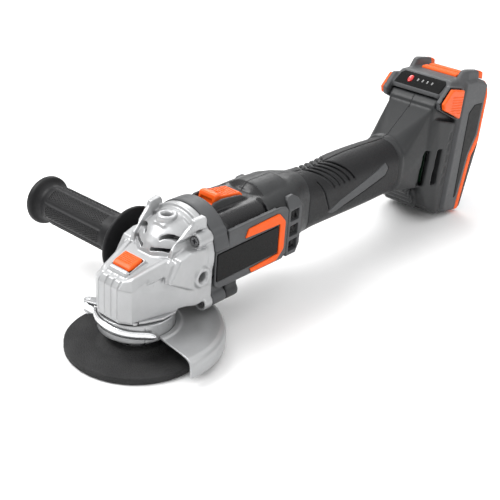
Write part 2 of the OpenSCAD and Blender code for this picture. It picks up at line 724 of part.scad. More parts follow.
module controller() color(green) in_pack() union() {
    translate([-28, -20, 40]) cube([1.6, 40, 56]);
    for (w = [48, 62, 76]) translate([-26.5, -12, w]) cube([5, 10, 9]);
    translate([-26.5, 6, 50]) cube([8, 9, 18]);
}

module terminal_block() color("#2a2b2e") in_pack() union() {
    translate([-11.6, -15.6, 7.3]) cube([5.2, 31.2, 6.2]);
    for (v = [-11, -4, 4, 11]) translate([-10.6, v - 0.5, 13]) cube([5, 1, 20]);
}

// ---------- battery ----------

pack_outline = [
    [0, 8], [8, 2.4], [pack_foot_u, 0], [40, 4], [pack_depth, 73], [pack_depth, 127], [48, 141],
    [24, pack_top], [0, pack_top]
];
head_outline = [[0.1, head_z], [head_u, head_z], [head_u, 135.6], [-18, pack_top], [0.1, pack_top]];
cheek_outline = [[0.1, 106], [-40, 122], [-43, 130], [-28, 145], [0.1, 141]];
button_outline = [[-2.5, 108.4], [-38.5, 122.8], [-41, 129.6], [-27.4, 143.4], [-3, 139.6]];
band_front = [[46, 160], [46, 84], [35, 64], [25, -20]];
band_rear = [[32, -20], [42, 62], [60, 90], [60, 160]];
// Lugs on the top corners, their soft ends, and the soft bars across the top
lug_outline = [[0.5, 140], [1.5, 155.6], [9, 156.6], [29.8, 154.2], [29.8, 140]];
lug_end_outline = [[30.1, 146.3], [30.1, 153.8], [37.5, 151.8], [39.5, 143.7]];
lug_from = 25;
lug_to = 33;
bar_rows = [4, 17];
bar_w = 11;
bar_half = 21;
bar_seat = 146.6;

// Closed pack shape before it is split, and the space inside it
module pack_solid() {
    side_plate(pack_outline, -pack_w, pack_w);
    side_plate(head_outline, -head_w, head_w);
    side_plate([[-12, 15], [-12, head_z + 1], [1, head_z + 1], [1, 15]], -block_w, block_w);
    side_plate([[-8.5, 15], [-8.5, 120], [-4.2, 120], [-4.2, 15]], -rail_w, rail_w);
    for (side = [-1, 1]) on_side(side) {
        side_plate(cheek_outline, head_w - 1, pack_w - 1.5);
        side_plate(lug_outline, lug_from, lug_to);
    }
}
module pack_hollow() {
    side_plate([[3, 10], [10, 4.8], [33, 3], [38, 6.4], [51.3, 73], [51.3, 126], [46, 138.5],
        [23, 145.5], [3, 145.5]],
        -pack_w + pack_wall, pack_w - pack_wall);
    side_plate([[4, 134], [-31, 134], [-31, 136], [-17, 145.5], [4, 145.5]],
        -head_w + pack_wall, head_w - pack_wall);
    for (v = [-11, -4, 4, 11]) translate([-11, v - 1, 14]) cube([6, 2, 22]);
}
module band_zone() side_plate(concat(band_front, band_rear), -50, 50);
module rear_zone() side_plate([[32, -20], [42, 62], [60, 90], [90, 90], [90, -20]], -50, 50);

module battery_front_shell() color(grey) in_pack() difference() {
    pack_solid();
    pack_hollow();
    band_zone();
    rear_zone();
    side_plate([[-19.6, 152], [-19.6, 146.2], [-34, 135.9], [-50, 135.9], [-50, 152]], -27, 27);
    for (side = [-1, 1]) on_side(side) {
        side_plate(button_outline, button_floor, 40);
        along_y(spring_u, spring_v, spring_w) cylinder(r = 3.2, h = 10);
    }
    gauge_frame() translate([0, 0, -5]) cylinder(r = 3.3, h = 8);
    // Two shallow seats for the bars across the top
    for (u = bar_rows) translate([u, -bar_half, bar_seat]) cube([bar_w, 2 * bar_half, 10]);
}

module battery_rear_shell() color(dark) in_pack() difference() {
    intersection() {
        pack_solid();
        rear_zone();
    }
    pack_hollow();
}

module battery_band() color(orange) in_pack() {
    difference() {
        intersection() {
            pack_solid();
            band_zone();
        }
        pack_hollow();
    }
    for (side = [-1, 1]) on_side(side) side_plate(lug_end_outline, lug_from + 0.5, lug_to - 0.5);
    for (u = bar_rows) translate([u + 0.1, -bar_half + 0.1, bar_seat + 0.05])
        cube([bar_w - 0.2, 2 * bar_half - 0.2, 3.4]);
}

module battery_labels() color(black) in_pack() for (side = [-1, 1]) on_side(side)
    side_plate([[20, 18], [17, 112], [26, 120], [42, 120], [42, 86], [31.5, 66], [24.5, 20]],
        pack_w, pack_w + 0.5);

module battery_cells() color("#3f7fa6") in_pack() {
    for (i = [0 : 4]) along_y(13.4, -32.5, 24 + i * 19) cylinder(r = cell_r, h = 65);
    for (i = [0 : 4]) along_y(33, -32.5, 43.5 + i * 19) cylinder(r = cell_r, h = 65);
}

module battery_board() color(green) in_pack() union() {
    translate([6, -28, 134]) cube([34, 56, 1.6]);
    for (v = [-18, 0, 18]) translate([12, v - 4, 135.5]) cube([10, 8, 3]);
}

// Local frame of the gauge's key, on the sloping panel with its Z axis outwards
module gauge_frame() translate([-27, 12, 141]) rotate([0, -gauge_slope, 0]) children();

module gauge_panel() color("#101012") in_pack() difference() {
    side_plate([[-19.8, 146.15], [-34.1, 135.97], [-34.7, 136.7], [-20.4, 146.9]], -26.8, 26.8);
    gauge_frame() cylinder(r = 3.3, h = 10, center = true);
}

module gauge_button() color("#c33") in_pack() gauge_frame()
    translate([0, 0, -0.4]) cylinder(r = 2.9, h = 2);

module release_button(side) color(orange) in_pack() on_side(side) union() {
    side_plate([for (p = button_outline) [-21 + (p[0] + 21) * 0.97, 126 + (p[1] - 126) * 0.97]], 34, 38.4);
    along_y(spring_u, spring_v + 3.6, spring_w) cylinder(r = 2.6, h = 4);
}
module release_button_left() release_button(1);
module release_button_right() release_button(-1);

module release_springs() color(steel) in_pack() for (side = [-1, 1]) on_side(side) for (i = [0 : 2])
    along_y(spring_u, spring_v + 0.5 + i * 1.2, spring_w)
        rotate_extrude() translate([2.2, 0]) circle(0.4, $fn = 16);

// ---------- side handle ----------

module handle_stud() color(steel) union() {
    along_y(handle_x, 20, handle_z) cylinder(r = m8_r - 0.05, h = 45);
    along_y(handle_x, 60, handle_z) cylinder(r = 7, h = 10, $fn = 6);
}

module handle_grip() color(black) along_y(handle_x, 0, handle_z) difference() {
    rotate_extrude($fn = 96) polygon([
        [m8_r, 34.6], [11, 34.6], [12.5, 44], [28, 45.5],
        [hand_guard_r, 47], [hand_guard_r, 49.4], [20, 53],
        [15, 58], [handle_r, 66], [handle_r, handle_end - 17], [handle_r - 1, handle_end - 12],
        [22, handle_end - 7], [22, handle_end - 2], [20, handle_end], [0, handle_end], [0, 72], [m8_r, 72]
    ]);
    translate([0, 0, 59.9]) cylinder(r = 7.05, h = 10.2, $fn = 6);
    for (i = [0 : 5])
        rotate([0, 0, i * 60]) translate([handle_r + 0.6, 0, 68]) cylinder(r = 1.4, h = 76, $fn = 24);
}

gear_case();
gear_case_screws();
bearing_cap();
bearing_cap_screws();
spindle();
lower_bearing();
upper_bush();
crown_gear();
inner_flange();
grinding_disc();
clamp_nut();
lock_button();
lock_pin();
lock_spring();
guard_shell();
guard_collar();
clamp_bolt();
guard_lever();
lever_pin();
pinion();
motor_shaft();
front_bearing();
rear_bearing();
fan();
armature();
commutator();
motor_can();
magnets();
brush_holders();
brushes();
front_ring();
housing_left();
housing_right();
housing_screws();
side_panel_left();
side_panel_right();
side_trim_left();
side_trim_right();
label_plates();
grip_sleeve_left();
grip_sleeve_right();
grip_inlays();
switch_slider();
switch_rod();
switch_body();
controller();
terminal_block();
battery_front_shell();
battery_rear_shell();
battery_band();
battery_labels();
battery_cells();
battery_board();
gauge_panel();
gauge_button();
release_button_left();
release_button_right();
release_springs();
handle_stud();
handle_grip();
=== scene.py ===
"""Looks of the cordless angle grinder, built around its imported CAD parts.

Lengths in the shape code are millimetres in the part's own frame: the origin is on the spindle axis at
the disc's working face, +X runs to the battery, +Y to the side handle and +Z up. solid_object() turns them
into metres.
"""

import math
import random

import bmesh
import bpy
from mathutils import Matrix, Vector


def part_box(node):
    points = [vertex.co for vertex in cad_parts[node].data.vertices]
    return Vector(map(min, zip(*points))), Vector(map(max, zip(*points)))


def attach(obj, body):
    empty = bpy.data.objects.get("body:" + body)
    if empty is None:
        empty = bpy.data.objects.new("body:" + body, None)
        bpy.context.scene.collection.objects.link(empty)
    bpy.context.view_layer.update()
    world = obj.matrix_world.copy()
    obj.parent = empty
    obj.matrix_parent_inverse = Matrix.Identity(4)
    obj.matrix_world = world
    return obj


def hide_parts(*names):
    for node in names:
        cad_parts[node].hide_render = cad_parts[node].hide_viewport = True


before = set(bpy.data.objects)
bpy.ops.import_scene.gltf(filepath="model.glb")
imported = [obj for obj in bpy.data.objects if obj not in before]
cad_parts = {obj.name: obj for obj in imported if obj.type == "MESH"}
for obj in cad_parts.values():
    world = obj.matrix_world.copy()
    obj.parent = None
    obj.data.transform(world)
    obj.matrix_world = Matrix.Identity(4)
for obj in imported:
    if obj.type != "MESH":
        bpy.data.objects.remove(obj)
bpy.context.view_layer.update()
random.seed(7)

MM = 0.001
COARSE = 1.0
TURN = 2 * math.pi
SIDES = ((1, "left"), (-1, "right"))


def box_mm(node):
    """A CAD node's lowest and highest corners in millimetres."""
    lo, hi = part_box(node)
    return lo / MM, hi / MM


# Driving dimensions, taken from the CAD model
MOTOR_Z = (box_mm("motor_can")[0].z + box_mm("motor_can")[1].z) / 2
CASE_Z = box_mm("gear_case")[0].z + 9
CASE_REAR = box_mm("gear_case")[1].x
DISC_R = box_mm("grinding_disc")[1].x
GUARD_R = box_mm("guard_shell")[1].x
HANDLE_X = (box_mm("handle_grip")[0].x + box_mm("handle_grip")[1].x) / 2
HANDLE_Z = (box_mm("handle_grip")[0].z + box_mm("handle_grip")[1].z) / 2
HANDLE_END = box_mm("handle_grip")[1].y
DISC_AXIS = (0, 0, 0)
MOTOR_AXIS = (0, 0, MOTOR_Z)
SIDE_THREAD = (HANDLE_X, 0, HANDLE_Z)
TOP_THREAD = (30.5, 0, 0)
LEVER_PIN = (-20, 34, 0)
PACK_TILT = math.radians(4)
PACK_FOOT = 34
# The battery's own frame: its slide face is u = 0, and w runs up the slide
PACK = Matrix.Translation((397, 0, PACK_FOOT * math.sin(PACK_TILT))) @ Matrix.Rotation(PACK_TILT, 4, "Y")
ROD_SIDES = 48


# ---------- solids: each helper adds one closed solid to a bmesh, in millimetres ----------


def place(bm, verts, matrix):
    if matrix is not None:
        bmesh.ops.transform(bm, matrix=matrix, verts=verts)


def skin(bm, rings, matrix=None, closed=False):
    """Skins rings of points into a solid: capped at both ends, or joined end to end if closed."""
    made = [[bm.verts.new(p) for p in ring] for ring in rings]
    count = len(made[0])
    pairs = list(zip(made, made[1:] + made[:1])) if closed else list(zip(made, made[1:]))
    faces = []
    for a, b in pairs:
        for i in range(count):
            j = (i + 1) % count
            faces.append(bm.faces.new((a[i], a[j], b[j], b[i])))
    if not closed:
        faces.append(bm.faces.new(list(reversed(made[0]))))
        faces.append(bm.faces.new(made[-1]))
    bmesh.ops.recalc_face_normals(bm, faces=faces)
    place(bm, [v for ring in made for v in ring], matrix)


AXES = {
    "x": lambda u, v, w: (w, u, v),
    "y": lambda u, v, w: (u, w, v),
    "z": lambda u, v, w: (u, v, w),
}


def prism(bm, points, axis, low, high, inset=0.0, matrix=None):
    """An outline extruded between low and high along an axis. inset rounds its end edges over."""
    to = AXES[axis]
    steps = [(low, 0.0), (high, 0.0)]
    if inset:
        steps = [(low, inset), (low + inset, 0.0), (high - inset, 0.0), (high, inset)]
    rings = []
    for w, shrink in steps:
        rings.append([to(u, v, w) for u, v in shrunk(points, shrink)])
    skin(bm, rings, matrix)


def shrunk(points, amount):
    """An outline moved inwards by amount."""
    if not amount:
        return points
    area = sum(a[0] * b[1] - b[0] * a[1] for a, b in zip(points, points[1:] + points[:1]))
    sign = 1 if area > 0 else -1
    out = []
    count = len(points)
    for i in range(count):
        before, here, after = Vector(points[i - 1]), Vector(points[i]), Vector(points[(i + 1) % count])
        one = (here - before).normalized()
        two = (after - here).normalized()
        n1 = Vector((-one.y, one.x)) * sign
        n2 = Vector((-two.y, two.x)) * sign
        mitre = (n1 + n2).normalized()
        out.append(tuple(here + mitre * amount / max(mitre.dot(n1), 0.35)))
    return out


def block(bm, x, y, z, inset=0.0, matrix=None):
    prism(bm, [(x[0], y[0]), (x[1], y[0]), (x[1], y[1]), (x[0], y[1])], "z", z[0], z[1], inset, matrix)


def hull(bm, points, matrix=None):
    verts = [bm.verts.new(p) for p in points]
    made = bmesh.ops.convex_hull(bm, input=verts)
    spare = {g for g in made["geom_interior"] + made["geom_unused"] if isinstance(g, bmesh.types.BMVert)}
    kept = [v for v in verts if v not in spare]
    bmesh.ops.delete(bm, geom=list(spare), context="VERTS")
    place(bm, kept, matrix)


def both_sides(points):
    """The points with their mirror images across the body's middle plane."""
    return [(x, s * y, z) for x, y, z in points for s in (1, -1)]


def side_hull(bm, side, points, matrix=None):
    """A hull on one side, 1 for left and -1 for right; the points' y is measured out from the middle."""
    hull(bm, [(x, side * y, z) for x, y, z in points], matrix)


def span(side, near, far):
    """The range of y between two distances from the middle plane on one side, lowest first."""
    return sorted((side * near, side * far))


def turned(bm, profile, axis, centre, segments=96, matrix=None):
    """A profile of (radius, height) points turned round an axis through centre."""
    to = AXES[axis]
    rings = []
    for i in range(segments):
        a = TURN * i / segments
        rings.append([Vector(to(r * math.cos(a), r * math.sin(a), h)) + Vector(centre) for r, h in profile])
    skin(bm, rings, matrix, closed=True)


def rod(bm, axis, centre, radius, low, high, bevel=0.0, matrix=None):
    """A round bar along an axis, its ends bevelled."""
    to = AXES[axis]
    angles = [TURN * i / ROD_SIDES for i in range(ROD_SIDES)]
    steps = [(low, radius), (high, radius)]
    if bevel:
        steps = [(low, radius - bevel), (low + bevel, radius), (high - bevel, radius),
            (high, radius - bevel)]
    rings = []
    for w, r in steps:
        rings.append([Vector(to(r * math.cos(a), r * math.sin(a), w)) + Vector(centre) for a in angles])
    skin(bm, rings, matrix)


def rounded(half_w, low, high, corner, count=12):
    """A rounded cross-section as (y, z) points."""
    mid, half_h = (low + high) / 2, (high - low) / 2
    corner = min(corner, half_w - 0.1, half_h - 0.1)
    points = []
    for sy, sz, first in ((1, 1, 0), (-1, 1, 1), (-1, -1, 2), (1, -1, 3)):
        for i in range(count + 1):
            a = (first + i / count) * math.pi / 2
            y = sy * (half_w - corner) + corner * math.cos(a)
            points.append((y, mid + sz * (half_h - corner) + corner * math.sin(a)))
    return points


def loft(bm, stations, matrix=None):
    """A body along X through stations of (x, half width, low, high, corner)."""
    skin(bm, [[(x, y, z) for y, z in rounded(w, low, high, c)] for x, w, low, high, c in stations], matrix)


def smooth_stations(stations, step=2.0):
    """Stations blended with a Catmull-Rom curve, so a loft through them has no creases."""
    out = []
    for i in range(len(stations) - 1):
        p0 = stations[max(i - 1, 0)]
        p1, p2 = stations[i], stations[i + 1]
        p3 = stations[min(i + 2, len(stations) - 1)]
        parts = max(1, round((p2[0] - p1[0]) / step))
        for k in range(parts):
            t = k / parts
            out.append(tuple(
                a1 + (a2 - a1) * t if n == 0 else
                0.5 * (2 * a1 + (a2 - a0) * t + (2 * a0 - 5 * a1 + 4 * a2 - a3) * t * t
                       + (3 * a1 - a0 - 3 * a2 + a3) * t ** 3)
                for n, (a0, a1, a2, a3) in enumerate(zip(p0, p1, p2, p3))))
    out.append(stations[-1])
    return out


# ---------- from solids to finished pieces ----------

# Voxel size of a moulded piece and of its cuts, as a share of the finest detail it keeps
PIECE_SHARE = 0.75
CUT_SHARE = 0.6


def linked(obj):
    bpy.context.collection.objects.link(obj)
    return obj


def solid_object(name, build):
    """An object in metres from a function that adds closed solids to a bmesh."""
    bm = bmesh.new()
    build(bm)
    mesh = bpy.data.meshes.new(name)
    bm.to_mesh(mesh)
    bm.free()
    mesh.transform(Matrix.Scale(MM, 4))
    return linked(bpy.data.objects.new(name, mesh))


def copied(obj, name):
    made = obj.copy()
    made.data = obj.data.copy()
    made.name = name
    return linked(made)


def bake_modifiers(obj):
    """Applies an object's modifiers."""
    graph = bpy.context.evaluated_depsgraph_get()
    mesh = bpy.data.meshes.new_from_object(obj.evaluated_get(graph))
    old = obj.data
    obj.modifiers.clear()
    obj.data = mesh
    bpy.data.meshes.remove(old)


def remeshed(obj, voxel):
    mod = obj.modifiers.new("fuse", "REMESH")
    mod.mode = "VOXEL"
    mod.voxel_size = voxel * MM * COARSE
    bake_modifiers(obj)


def fused(name, build, voxel):
    """One watertight object from a function's solids; voxel is its finest detail, in millimetres."""
    made = solid_object(name, build)
    remeshed(made, voxel)
    return made


def softened(obj, passes):
    """Rounds an object's edges over."""
    mod = obj.modifiers.new("soften", "SMOOTH")
    mod.factor = 0.5
    mod.iterations = passes
    bake_modifiers(obj)


def repaint(obj, material, inside):
    """Gives the faces whose centre, in millimetres, passes the test a second finish."""
    obj.data.materials.append(material)
    slot = len(obj.data.materials) - 1
    for face in obj.data.polygons:
        if inside(face.center / MM):
            face.material_index = slot


def combine(obj, other, operation):
    mod = obj.modifiers.new("combine", "BOOLEAN")
    mod.operation = operation
    mod.object = other
    mod.solver = "MANIFOLD"
    bake_modifiers(obj)
    bpy.data.objects.remove(other)


def finish_piece(obj, body, slot, material, *nodes):
    """Shades a piece smooth, hangs it on the empty of the body it rides on, gives it its material and hides
    the CAD nodes it replaces.
    """
    for polygon in obj.data.polygons:
        polygon.use_smooth = True
    obj.data.materials.clear()
    obj.data.materials.append(material)
    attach(obj, body)
    if nodes:
        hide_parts(*nodes)
    return obj


def moulded(name, build, body, slot, material, nodes=(), cut=None, voxel=0.8, soften=4):
    """A cast or moulded piece: solids fused, cut, and rounded over at their edges.

    build adds solids and cut takes solids away. voxel is the finest detail kept, in millimetres, and soften
    the passes that round the edges."""
    piece = fused(name, build, voxel * PIECE_SHARE)
    if cut:
        combine(piece, fused(name + "_cut", cut, voxel * CUT_SHARE), "DIFFERENCE")
        remeshed(piece, voxel * PIECE_SHARE)
    softened(piece, soften)
    piece.name = name
    return finish_piece(piece, body, slot, material, *nodes)


# ---------- materials ----------


def new_material(name):
    mat = bpy.data.materials.new(name)
    mat.use_nodes = True
    nodes = mat.node_tree.nodes
    return mat, nodes, mat.node_tree.links, nodes["Principled BSDF"]


def noise(nodes, links, coord, per_metre, detail=4.0, stretch=None):
    """Noise in object space; per_metre is how many lumps fit in a metre."""
    source = coord
    if stretch:
        mapping = nodes.new("ShaderNodeMapping")
        mapping.inputs["Scale"].default_value = stretch
        links.new(coord, mapping.inputs["Vector"])
        source = mapping.outputs["Vector"]
    made = nodes.new("ShaderNodeTexNoise")
    made.inputs["Scale"].default_value = per_metre
    made.inputs["Detail"].default_value = detail
    made.inputs["Roughness"].default_value = 0.55
    links.new(source, made.inputs["Vector"])
    return made.outputs["Fac"]


def remap(nodes, links, value, low, high, to_low, to_high):
    made = nodes.new("ShaderNodeMapRange")
    for socket, number in (("From Min", low), ("From Max", high), ("To Min", to_low), ("To Max", to_high)):
        made.inputs[socket].default_value = number
    links.new(value, made.inputs["Value"])
    return made.outputs["Result"]


def mixed(nodes, links, factor, a, b):
    made = nodes.new("ShaderNodeMix")
    made.data_type = "RGBA"
    for socket, colour in ((6, a), (7, b)):
        if isinstance(colour, bpy.types.NodeSocket):
            links.new(colour, made.inputs[socket])
        else:
            made.inputs[socket].default_value = (*colour, 1)
    links.new(factor, made.inputs[0])
    return made.outputs[2]


def add_bumps(nodes, links, shader, height, strength, depth):
    """Bumps on a finish; depth is their height in millimetres."""
    bumps = nodes.new("ShaderNodeBump")
    bumps.inputs["Strength"].default_value = strength
    bumps.inputs["Distance"].default_value = depth * MM
    links.new(height, bumps.inputs["Height"])
    links.new(bumps.outputs["Normal"], shader.inputs["Normal"])


def surface(name, colour, rough=0.5, spread=0.08, grain=1600, bump=0.15, depth=0.1, metal=0.0, tint=0.12,
            worn=None, worn_share=0.5, specular=0.5, coat=0.0, stretch=None):
    """A finish with broad colour variation, fine surface grain, uneven gloss and lighter, worn edges.

    grain is lumps per metre, bump its strength, depth its height in millimetres."""
    mat, nodes, links, shader = new_material(name)
    coord = nodes.new("ShaderNodeTexCoord").outputs["Object"]
    broad = noise(nodes, links, coord, 45, detail=3)
    fine = noise(nodes, links, coord, grain, detail=3, stretch=stretch)
    middle = noise(nodes, links, coord, grain / 7, detail=5, stretch=stretch)
    dark = tuple(c * (1 - tint) for c in colour)
    light = tuple(min(1, c * (1 + tint)) for c in colour)
    base = mixed(nodes, links, remap(nodes, links, broad, 0.35, 0.65, 0, 1), dark, light)
    if worn:
        edge = remap(nodes, links, nodes.new("ShaderNodeNewGeometry").outputs["Pointiness"], 0.52, 0.6, 0,
            worn_share)
        base = mixed(nodes, links, edge, base, worn)
    links.new(base, shader.inputs["Base Color"])
    links.new(remap(nodes, links, middle, 0.3, 0.7, rough - spread, rough + spread),
        shader.inputs["Roughness"])
    add_bumps(nodes, links, shader, fine, bump, depth)
    shader.inputs["Metallic"].default_value = metal
    shader.inputs["Specular IOR Level"].default_value = specular
    shader.inputs["Coat Weight"].default_value = coat
    return mat


SILVER = (0.43, 0.435, 0.44)
ORANGE = (0.88, 0.11, 0.008)
CAST = surface("cast aluminium", SILVER, 0.38, 0.07, 2200, 0.3, 0.08, 0.55, 0.05, (0.75, 0.76, 0.77), 0.6)
CAP_CAST = surface("machined cap", (0.42, 0.425, 0.43), 0.34, 0.07, 1800, 0.2, 0.06, 0.8, 0.06,
    (0.8, 0.8, 0.82))
GUARD = surface("guard steel", (0.4, 0.405, 0.41), 0.42, 0.06, 2600, 0.2, 0.06, 0.6, 0.04,
    (0.66, 0.67, 0.68), 0.5)
PLATED = surface("plated steel", (0.74, 0.75, 0.76), 0.2, 0.06, 900, 0.12, 0.06, 1.0, 0.05,
    (0.9, 0.9, 0.92))
SCREW = surface("screw steel", (0.2, 0.2, 0.21), 0.32, 0.08, 1500, 0.2, 0.05, 1.0, 0.08, (0.6, 0.6, 0.6))
TOOL = surface("tool steel", (0.45, 0.46, 0.48), 0.3, 0.08, 900, 0.2, 0.05, 1.0, 0.08, (0.65, 0.65, 0.66),
               stretch=(1, 1, 6))
BRASS = surface("sintered bronze", (0.55, 0.38, 0.16), 0.45, 0.06, 3000, 0.3, 0.06, 1.0)
MOTOR = surface("motor steel", (0.3, 0.3, 0.31), 0.4, 0.08, 900, 0.2, 0.05, 1.0, stretch=(1, 6, 6))
FERRITE = surface("ferrite", (0.06, 0.06, 0.065), 0.6, 0.08, 1500, 0.4, 0.1)
COPPER = surface("winding copper", (0.5, 0.2, 0.08), 0.35, 0.08, 700, 0.6, 0.2, 0.9, stretch=(1, 8, 8))
CARBON = surface("carbon", (0.02, 0.02, 0.02), 0.6, 0.08, 2400, 0.3, 0.08)
DARK = surface("dark nylon", (0.02, 0.021, 0.022), 0.42, 0.06, 2600, 0.25, 0.07, 0, 0.07,
    (0.09, 0.09, 0.095), 0.4, specular=0.35)
GREY = surface("grey nylon", (0.068, 0.07, 0.073), 0.46, 0.06, 2400, 0.25, 0.08, 0, 0.06,
    (0.16, 0.16, 0.165), 0.4, specular=0.35)
BLACK = surface("black plastic", (0.004, 0.004, 0.004), 0.42, 0.06, 2200, 0.2, 0.06, 0, 0.1,
    (0.04, 0.04, 0.04), 0.4, specular=0.15)
# Darker gloss nylon: its near-black colour is painted shade and painted reflection on the shoulder, the
# hump's front and the air outlets; its lower roughness is a real gloss
SHADE_PAINTED_NYLON = surface("gloss nylon painted shade", (0.006, 0.006, 0.007), 0.28, 0.05, 2200, 0.1, 0.05, 0, 0.1, specular=0.35)
GLOSS = surface("gloss black", (0.003, 0.003, 0.003), 0.25, 0.04, 1500, 0.06, 0.03, 0, 0.1, specular=0.12)
RUBBER = surface("grip rubber", (0.008, 0.008, 0.009), 0.5, 0.07, 3000, 0.45, 0.1, 0, 0.12,
    (0.04, 0.04, 0.04), 0.4, specular=0.3)
GREY_RUBBER = surface("grey rubber", (0.06, 0.062, 0.065), 0.55, 0.06, 3000, 0.4, 0.1, 0, 0.06)
ORANGE_PLASTIC = surface("orange plastic", ORANGE, 0.36, 0.06, 1800, 0.15, 0.06, 0, 0.05,
    (0.95, 0.16, 0.03), 0.35, specular=0.3)
ORANGE_RUBBER = surface("orange rubber", ORANGE, 0.5, 0.06, 2600, 0.3, 0.08, 0, 0.04, (0.95, 0.15, 0.03),
    0.3, specular=0.25)
RED = surface("red key", (0.55, 0.012, 0.012), 0.22, 0.05, 1500, 0.05, 0.03, coat=0.6)
LAMP = surface("gauge lamp", (0.2, 0.2, 0.2), 0.3, 0.05, 1500, 0.05, 0.03)
BOARD = surface("solder mask", (0.008, 0.035, 0.016), 0.35, 0.08, 500, 0.3, 0.1)
WRAP = surface("cell wrap", (0.05, 0.2, 0.36), 0.3, 0.05, 900, 0.1, 0.05)
FLOOR = surface("floor", (0.9, 0.9, 0.9), 0.6, 0.04, 300, 0.02, 0.05, 0, 0.005)


def abrasive_material():
    """Black resin-bonded grain with pale flecks."""
    mat, nodes, links, shader = new_material("abrasive")
    coord = nodes.new("ShaderNodeTexCoord").outputs["Object"]
    grains = nodes.new("ShaderNodeTexVoronoi")
    grains.inputs["Scale"].default_value = 1100
    links.new(coord, grains.inputs["Vector"])
    flecks = remap(nodes, links, noise(nodes, links, coord, 2600, 2), 0.66, 0.74, 0, 0.7)
    patches = remap(nodes, links, noise(nodes, links, coord, 60, 4), 0.3, 0.7, 0, 1)
    base = mixed(nodes, links, patches, (0.011, 0.011, 0.0115), (0.022, 0.022, 0.0225))
    base = mixed(nodes, links, flecks, base, (0.11, 0.11, 0.11))
    links.new(base, shader.inputs["Base Color"])
    links.new(remap(nodes, links, grains.outputs["Distance"], 0, 1, 0.62, 0.9), shader.inputs["Roughness"])
    add_bumps(nodes, links, shader, grains.outputs["Distance"], 0.75, 0.5)
    return mat


ABRASIVE = abrasive_material()


# ---------- camera, floor and light ----------


# The camera's azimuth, elevation and roll in degrees, and its place in metres
CAMERA_ANGLES = (49.99, 26.97, -4.01)
CAMERA_PLACE = (-0.4647, -0.5023, 0.4375)
LIGHTS_AIM = (0.16, 0, 0.05)
# Name, place, size in metres and power in watts
LIGHTS = (
    ("key", (-0.5, 0.7, 1.3), 0.8, 17),
    ("fill", (-0.9, -0.9, 0.7), 0.8, 0.5),
    ("side", (0.5, -1.2, 0.6), 0.6, 2.4),
    ("back", (1.2, 0.9, 0.9), 0.7, 6),
)
# Sky brightness by height: a pale strip at the horizon, dark just over it for contrast, bright overhead
SKY = ((0.0, 1.0), (0.05, 1.0), (0.08, 0.1), (0.8, 1.4))


def studio():
    azimuth, elevation, roll = (math.radians(angle) for angle in CAMERA_ANGLES)
    forward = Vector((math.sin(azimuth) * math.cos(elevation), math.cos(azimuth) * math.cos(elevation),
        -math.sin(elevation)))
    level = Vector((math.cos(azimuth), -math.sin(azimuth), 0))
    down = forward.cross(level)
    right = level * math.cos(roll) + down * math.sin(roll)
    up = level * math.sin(roll) - down * math.cos(roll)
    camera = bpy.data.objects.new("camera", bpy.data.cameras.new("camera"))
    camera.data.sensor_width = 36
    camera.data.lens = 72
    camera.data.clip_start = 0.01
    turn = Matrix((right, up, -forward)).transposed().to_4x4()
    camera.matrix_world = Matrix.Translation(CAMERA_PLACE) @ turn
    linked(camera)
    bpy.context.scene.camera = camera

    bm = bmesh.new()
    bmesh.ops.create_grid(bm, x_segments=8, y_segments=8, size=8)
    mesh = bpy.data.meshes.new("floor")
    bm.to_mesh(mesh)
    bm.free()
    floor = bpy.data.objects.new("floor", mesh)
    floor.location.z = -0.0004
    floor.data.materials.append(FLOOR)
    linked(floor)

    world = bpy.data.worlds.new("studio")
    world.use_nodes = True
    sky, links = world.node_tree.nodes, world.node_tree.links
    sky["Background"].inputs["Color"].default_value = (1, 1, 1, 1)
    split = sky.new("ShaderNodeSeparateXYZ")
    links.new(sky.new("ShaderNodeTexCoord").outputs["Generated"], split.inputs["Vector"])
    ramp = sky.new("ShaderNodeValToRGB")
    for height, _ in SKY[1:-1]:
        ramp.color_ramp.elements.new(height)
    for element, (height, bright) in zip(ramp.color_ramp.elements, SKY):
        element.position = height
        element.color = (bright, bright, bright, 1)
    links.new(split.outputs["Z"], ramp.inputs["Fac"])
    links.new(ramp.outputs["Color"], sky["Background"].inputs["Strength"])
    bpy.context.scene.world = world
    bpy.context.scene.view_settings.view_transform = "Standard"
    for name, place_at, size, power in LIGHTS:
        lamp = bpy.data.lights.new(name, "AREA")
        lamp.size = size
        lamp.energy = power
        holder = bpy.data.objects.new(name, lamp)
        holder.location = place_at
        aim = Vector(LIGHTS_AIM) - Vector(place_at)
        holder.rotation_euler = aim.to_track_quat("-Z", "Y").to_euler()
        linked(holder)


studio()


# ---------- gear head ----------


